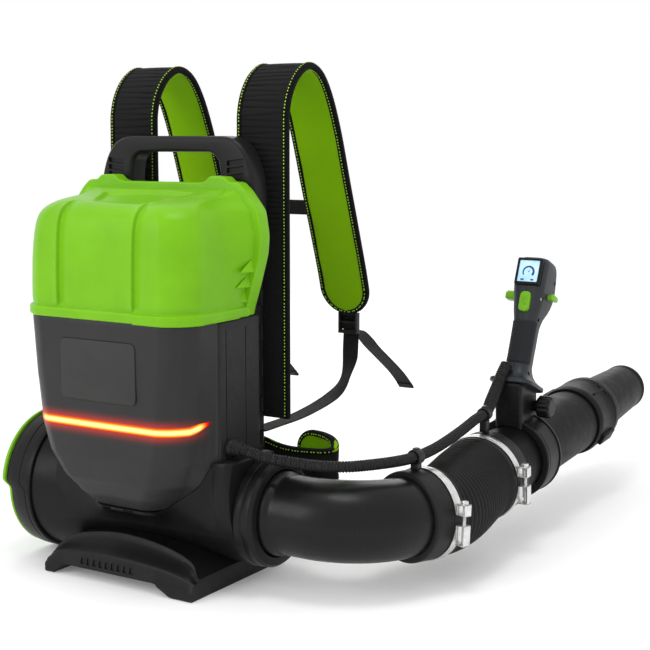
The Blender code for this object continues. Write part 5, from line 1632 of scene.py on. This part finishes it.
def grip_solid(name):
    rows = []
    sections = [Vector(row) for row in GRIP_SECTIONS]
    for a, b in zip(sections, sections[1:]):
        count = max(1, round((b[0] - a[0]) / 0.003))
        rows += [a.lerp(b, k / count) for k in range(count)]
    rows.append(sections[-1])
    return surface(name, [grip_section(half, back, front, z) for z, half, back, front in rows])


SCREWS = ((-0.006, 0.0180), (-0.004, 0.0960), (-0.012, 0.1240), (0.018, 0.1560))   # y and z on the grip
LEVER_AXIS = (0.006, 0.132)                                                        # likewise


def screw_face(z):
    """How far out the grip's flank has its screws at a height."""
    return 0.0135 if z < 0.1 else 0.0190


def on_grip(item, body, look, node=None, slot=None, sharp=38):
    """Shows a piece that was made in the grip's own frame."""
    item.data.transform(GRIP)
    show(item, body, look, node, sharp)


def grip_halves():
    for word, side in (("left", -1), ("right", 1)):
        item = grip_solid("handle_half_" + word)
        low, high = (-0.06, 0.00022) if side > 0 else (-0.00022, 0.06)
        cuts = [block("split", (low, -0.1, -0.1), (high, 0.1, 0.3), 0), slab("trigger_slot",
            rectangle(-0.0066, 0.0590, 0.0066, 0.1066, 0.0015), 0.050, facing(0.0235), 0),
            slab("button_hole", rectangle(-0.0083, 0.1025, 0.0083, 0.1325, 0.0080, steps=7), 0.040,
            facing(-0.0300), 0), block("screen_seat", (-0.0193, -0.05, 0.1397), (0.0193, -0.0197, 0.1798),
            0.0012), rod("lever_bore", (-0.05, *LEVER_AXIS), (0.05, *LEVER_AXIS), 0.0043, 32)]
        cuts += [rod("screw_well", (side * screw_face(z), y, z), (side * 0.03, y, z), 0.0029, 28) for y,
            z in SCREWS]
        carved(item, cuts)
        on_grip(item, "throttle_handle", "grip_grey", "grip_" + word, "housing_grey", 32)


def grip_screws():
    heads = []
    profile = mm((0.6, 0.2), (0.9, 1.4), (1.7, 1.5), (2.5, 1), (2.7, 0), (2.7, -1), (0.6, -1))
    for side in (-1, 1):
        for y, z in SCREWS:
            place = Matrix.Translation((side * (screw_face(z) + GAP), y, z))
            place = place @ Matrix.Rotation(side * math.pi / 2, 4, "Y")
            heads.append(turned("head", profile, place, 24, closed=False))
    on_grip(joined("handle_screws", heads), "throttle_handle", "motor_steel")


def overmould():
    """Soft rubber on the back of the grip, with fine rows of ribs."""
    sections = [Vector(row) for row in GRIP_SECTIONS]
    rows, count = [], 60
    for k in range(count):
        z = 0.0300 + 0.0620 * k / (count - 1)
        for a, b in zip(sections, sections[1:]):
            if a[0] <= z <= b[0]:
                section = a.lerp(b, (z - a[0]) / (b[0] - a[0]))
        outline = grip_section(section[1] + 0.0005, section[2] - 0.0007, section[3], z)
        keep = [p for p in outline if p.y < 0.004]
        rib = 0.00035 * (0.5 + 0.5 * math.cos(k * 2 * math.pi / 4))
        end = min(1.0, k / 3, (count - 1 - k) / 3)
        row, inner = [], []
        for p in keep:
            out = Vector((p.x, p.y, 0)).normalized()
            fade = min(1.0, max(0.0, (0.0042 - p.y) / 0.003))
            row.append(p + out * ((rib + 0.0004) * fade * end - 0.0006 * (1 - fade * end)))
            inner.append(p - out * 0.0015)
        rows.append(row + inner[::-1])
    on_grip(surface("grip_overmould", rows), "throttle_handle", "grip_rubber", None, "rubber_black", 50)


def display():
    """The screen: a bezel, a slightly domed window, and a generic gauge drawn on it."""
    bezel = block("screen_bezel", (-0.0190, -0.0277, 0.1400), (0.0190, -0.0200, 0.1795), 0.0024, steps=4)
    carved(bezel, [slab("window", rectangle(-0.0153, 0.1442, 0.0153, 0.1758, 0.0022), 0.0060,
        facing(-0.0280), 0)])
    on_grip(bezel, "throttle_handle", "fan_black", "display_bezel", None, 34)

    rows = []
    for k in range(13):
        row = []
        for m in range(13):
            x = -0.0149 + 0.0298 * m / 12
            row.append(Vector((x, -0.0262 - 0.0004 * (1 - (x / 0.015) ** 2), 0.1446 + 0.0308 * k / 12)))
        rows.append(row + [Vector((p.x, -0.0253, p.z)) for p in row[::-1]])
    glass = surface("screen_glass", rows)
    layer = glass.data.uv_layers.new(name="lay")
    for loop, spot in zip(glass.data.loops, layer.data):
        co = glass.data.vertices[loop.vertex_index].co
        spot.uv = ((co.x + 0.015) / 0.030, (co.z - 0.1446) / 0.031)
    on_grip(glass, "throttle_handle", "display_glass", "display_lens", None, 60)

    dial_z, arc = 0.1585, []
    for k in range(33):
        a = math.radians(215 - 250 * k / 32)
        width = 0.0009 + 0.0009 * k / 32
        arc.append([Vector((math.cos(a) * r, y, dial_z + math.sin(a) * r)) for r,
            y in ((0.0078 - width, -0.02672), (0.0078 + width, -0.02672), (0.0078 + width, -0.02640),
            (0.0078 - width, -0.02640))])
    pointer = Matrix.Translation((0, -0.02662, dial_z)) @ FRONT_PLANE @ Matrix.Rotation(math.radians(-38),
        4, "Z")
    marks = [surface("arc", arc), slab("needle", [(-0.0007, -0.0005), (0.0007, -0.0005), (0.0002, 0.0046),
        (-0.0002, 0.0046)], 0.0003, pointer, 0)]
    for low, high in ((-0.0100, -0.0050), (0.0050, 0.0095)):
        marks.append(slab("bar", rectangle(low, 0.1462, high, 0.1486, 0.0005), 0.0003, facing(-0.02655), 0))
    on_grip(joined("screen_gauge", marks), "throttle_handle", "display_mark", None, "display_glass")


def speed_button():
    oval = slab("button", rectangle(-0.0078, 0.1030, 0.0078, 0.1320, 0.0076, steps=7), 0.0095,
        facing(-0.01875), 0.0018, 4)
    ridges = [block("ridge", (-0.0044, -0.0240, z), (0.0044, -0.0231, z + 0.0010), 0.0004) for z in (0.1125,
        0.1150, 0.1175, 0.1200, 0.1225)]
    on_grip(joined("speed_button", [oval, *ridges]), "thumb_button", "lever_green", "thumb_button", None,
        34)


def trigger_blade():
    outline = rounded(mm((14, 104), (7, 103), (9, 93), (12.8, 78), (14, 70), (18.5, 66.5), (27, 65),
        (26.2, 69), (24.6, 74.5), (24, 80), (24.3, 86), (25, 92), (24.6, 98)), 0.0022)
    blade = slab("trigger_blade", outline, 0.0122, SIDE_PLANE, 0.0017, 4)
    on_grip(blade, "trigger", "lever_green", "trigger", None, 40)


def speed_lever():
    """The cruise lever: an axle through the grip, a ridged paddle on its left and a stub on its right."""
    parts = [rod("axle", (-0.0300, *LEVER_AXIS), (0.0300, *LEVER_AXIS), 0.0040, 40, 0.0006)]
    paddle = rounded(mm((1.8, 126.8), (10, 126.2), (19.5, 127), (22.2, 130), (22.2, 134.5), (19, 137.5),
        (9, 137.8), (1.8, 137)), 0.0030)
    parts.append(slab("paddle", paddle, 0.0155, Matrix.Translation((-0.03425, 0, 0)) @ SIDE_PLANE, 0.0022,
        4))
    for k in range(4):
        y = 0.0040 + k * 0.0036
        parts.append(block("ridge", (-0.0405, y, 0.1366), (-0.0280, y + 0.0012, 0.1384), 0.0005))
    stub = rounded(mm((1.2, 127.2), (19, 128.5), (19.8, 132), (18.5, 135.5), (1.2, 136.8)), 0.0028)
    parts.append(slab("stub", stub, 0.0055, Matrix.Translation((0.02925, 0, 0)) @ SIDE_PLANE, 0.0014, 4))
    on_grip(joined("speed_lever", parts), "cruise_lever", "lever_green", "cruise_lever", None, 34)


def grip_saddle():
    """The split ring round the tube and the block that the grip stands on."""
    saddle = block("grip_saddle", (-0.020, -0.110, 0.0885), (0.020, -0.030, 0.144), 0.0042, LINE, 4)
    ring = turned("ring", rectangle(0.0400, 0.094, 0.0575, 0.142, 0.0022), LINE, 112)
    carved(saddle, [ring], "UNION")
    above = block("above", (-0.1, -0.1, -0.0003), (0.1, 0.1, 0.2), 0)
    above.data.transform(GRIP)
    bore = turned("bore", [(0.0005, 0.0), (0.0489, 0.0), (0.0489, 0.2), (0.0005, 0.2)], LINE, 112,
        closed=False)
    stud = rod("stud_hole", KNOB - Vector((0.0125, 0, 0)), KNOB + Vector((0.01, 0, 0)), 0.0035, 32)
    gap = block("gap", (-0.0014, 0.030, 0.090), (0.0014, 0.070, 0.150), 0, LINE)
    grooves = [turned("groove", [(0.0566, z), (0.0590, z), (0.0590, z + 0.0014), (0.0566, z + 0.0014)],
        LINE, 112) for z in (0.1010, 0.1336)]
    carved(saddle, [above, bore, stud, gap, *grooves])
    show(saddle, "throttle_handle", "fan_black", "handle_clamp", sharp=32)


def locking_knob():
    """The clamp's knob, with ten flutes."""
    axis = Matrix.Translation(KNOB) @ Matrix.Rotation(math.pi / 2, 4, "Y")
    profile = mm((0.5, 25.2), (10.5, 25.2), (13.2, 24.8), (15, 23.2), (15.5, 20.5), (15.5, 7.8),
        (14.8, 6.2), (8.2, 5.6), (8, 0.4), (3.2, 0.3), (3.2, -12), (0.5, -12))
    rows, flutes = [], 10
    for r, z in rounded(profile, 0.0006, closed=False):
        row = []
        for k in range(120):
            a = 2 * math.pi * k / 120
            flute = max(0.0, 1 - abs(((a * flutes / (2 * math.pi)) % 1) - 0.5) * 3.2)
            row.append(axis @ polar(r - (0.0016 * flute ** 0.7 if r > 0.012 else 0.0), a, z))
        rows.append(row)
    show(surface("locking_knob", rows), "knob", "fan_black", "clamp_knob", sharp=34)


# ---- control cable -----------------------------------------------------------------------------
CLIP_REAR, CLIP_FRONT = Vector((0.3055, 0.0940, 0.1615)), Vector((0.3030, 0.2920, 0.1800))
CABLE_REAR = mm((132.5, -45, 178), (143, -45, 177.8), (170, -37, 170), (200, -26, 165.5), (237, -18, 164),
    (266, 2, 163), (289, 40, 162), (301, 70, 161.5))
CABLE_MIDDLE = mm((307, 118, 162), (306.5, 158, 164), (306, 214, 171), (304.5, 260, 178))
CABLE_FRONT = ((0.3010, 0.3060, 0.1825), (0.2985, 0.3200, 0.1910))
CABLE_ON_GRIP = mm((-10, -38.5, -12), (-9.8, -32.5, 3), (-9, -29.5, 12.5), (-8, -24.8, 23.5))


def conduit(word, route, sleeve=False):
    """Ribbed conduit along a curved route, between the two pieces it joins."""
    line = even_line(route, 0.0007)
    radii = []
    for index in range(len(line)):
        wave = 0.5 - 0.5 * math.cos(2 * math.pi * index / 5.4)
        radii.append(0.0058 + 0.0012 * wave ** 0.6)
    if sleeve:
        # a wider braided sleeve over the last run, up to the handle
        radii = [r + 0.0016 * min(1.0, max(0.0, (k - 14) / 22)) for k, r in enumerate(radii)]
    item = swept("conduit_" + word, line, radii, 24, laid=True)
    show(item, None, "cable_black", "control_cable_" + word, sharp=60)
    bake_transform(item)


def cable():
    on_grip = [GRIP @ Vector(point) for point in CABLE_ON_GRIP]
    conduit("rear", (*CABLE_REAR, CLIP_REAR))
    conduit("middle", (CLIP_REAR, *CABLE_MIDDLE, CLIP_FRONT))
    conduit("front", (CLIP_FRONT, *CABLE_FRONT, *on_grip), True)

    axis = Matrix.Translation((0.1273, -0.045, 0.178)) @ Matrix.Rotation(math.pi / 2, 4, "Y")
    profile = mm((7.6, 16.5), (8.4, 16), (8.8, 14), (8.2, 13), (9.2, 11.5), (8.6, 10.3), (9.8, 8.5),
        (9.2, 7.2), (11.2, 5), (11.6, 4), (11.6, 0.4), (8, 0.2), (8, -8), (6.2, -8), (6.8, 10), (7, 16.5))
    show(turned("conduit_gland", profile, axis, 48), "body", "rubber_black", "cable_gland", sharp=34)

    for word, middle, way, seat, body in (("rear", CLIP_REAR, Vector((0.006, 0.048, 0.0005)), 0.1450,
            "elbow"), ("front", CLIP_FRONT, Vector((-0.0035, 0.052, 0.0055)), 0.1555, "blower_tube")):
        turn = way.to_track_quat("Z", "Y").to_matrix().to_4x4()
        place = Matrix.Translation(middle) @ turn
        band_at = turned("band", rectangle(0.0069, -0.0062, 0.0096, 0.0062, 0.0010), place, 56)
        foot_at = block("foot", (middle.x - 0.0052, middle.y - 0.0056, seat), (middle.x + 0.0052,
            middle.y + 0.0056, middle.z - 0.0072), 0.0014)
        tongue = block("tongue", (-0.0030, 0.0080, -0.0040), (0.0030, 0.0112, 0.0040), 0.0010, place)
        show(joined("conduit_clip_" + word, [band_at, foot_at, tongue]), body, "buckle_black",
            "cable_clip_" + word, sharp=34)


# ---- what is kept from the CAD model -----------------------------------------------------------
def inner_parts():
    """The internals keep their CAD shape, and get worked materials."""
    looks = {"motor_shaft": "motor_steel", "motor_rotor": "motor_steel", "motor_stator": "copper",
        "bearing_front": "motor_steel", "bearing_rear": "motor_steel", "motor_can": "fan_black",
        "battery_left": "battery_grey", "battery_right": "battery_grey", "battery_dock": "fan_black",
        "motor_controller": "motor_steel"}
    for name, look in looks.items():
        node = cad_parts[name]
        for place in node.material_slots:
            place.material = LOOKS[look].material


stage()
fan_duct()
intake_ring()
intake_guard()
outlet_collar()
fan_wheel()
shoulders()
housing()
front_housing()
lid()
lid_flange()
lid_gussets()
top_handle()
harness_frame()
foot()
shoulder_straps()
sternum()
belts()
pad()
elbow()
hose_cuffs()
clamp("rear", HOSE_REAR, 0.042, "elbow")
clamp("front", LINE, 0.000, "blower_tube")
bellows()
tubes()
grip_halves()
grip_screws()
overmould()
display()
speed_button()
trigger_blade()
speed_lever()
grip_saddle()
locking_knob()
cable()
inner_parts()
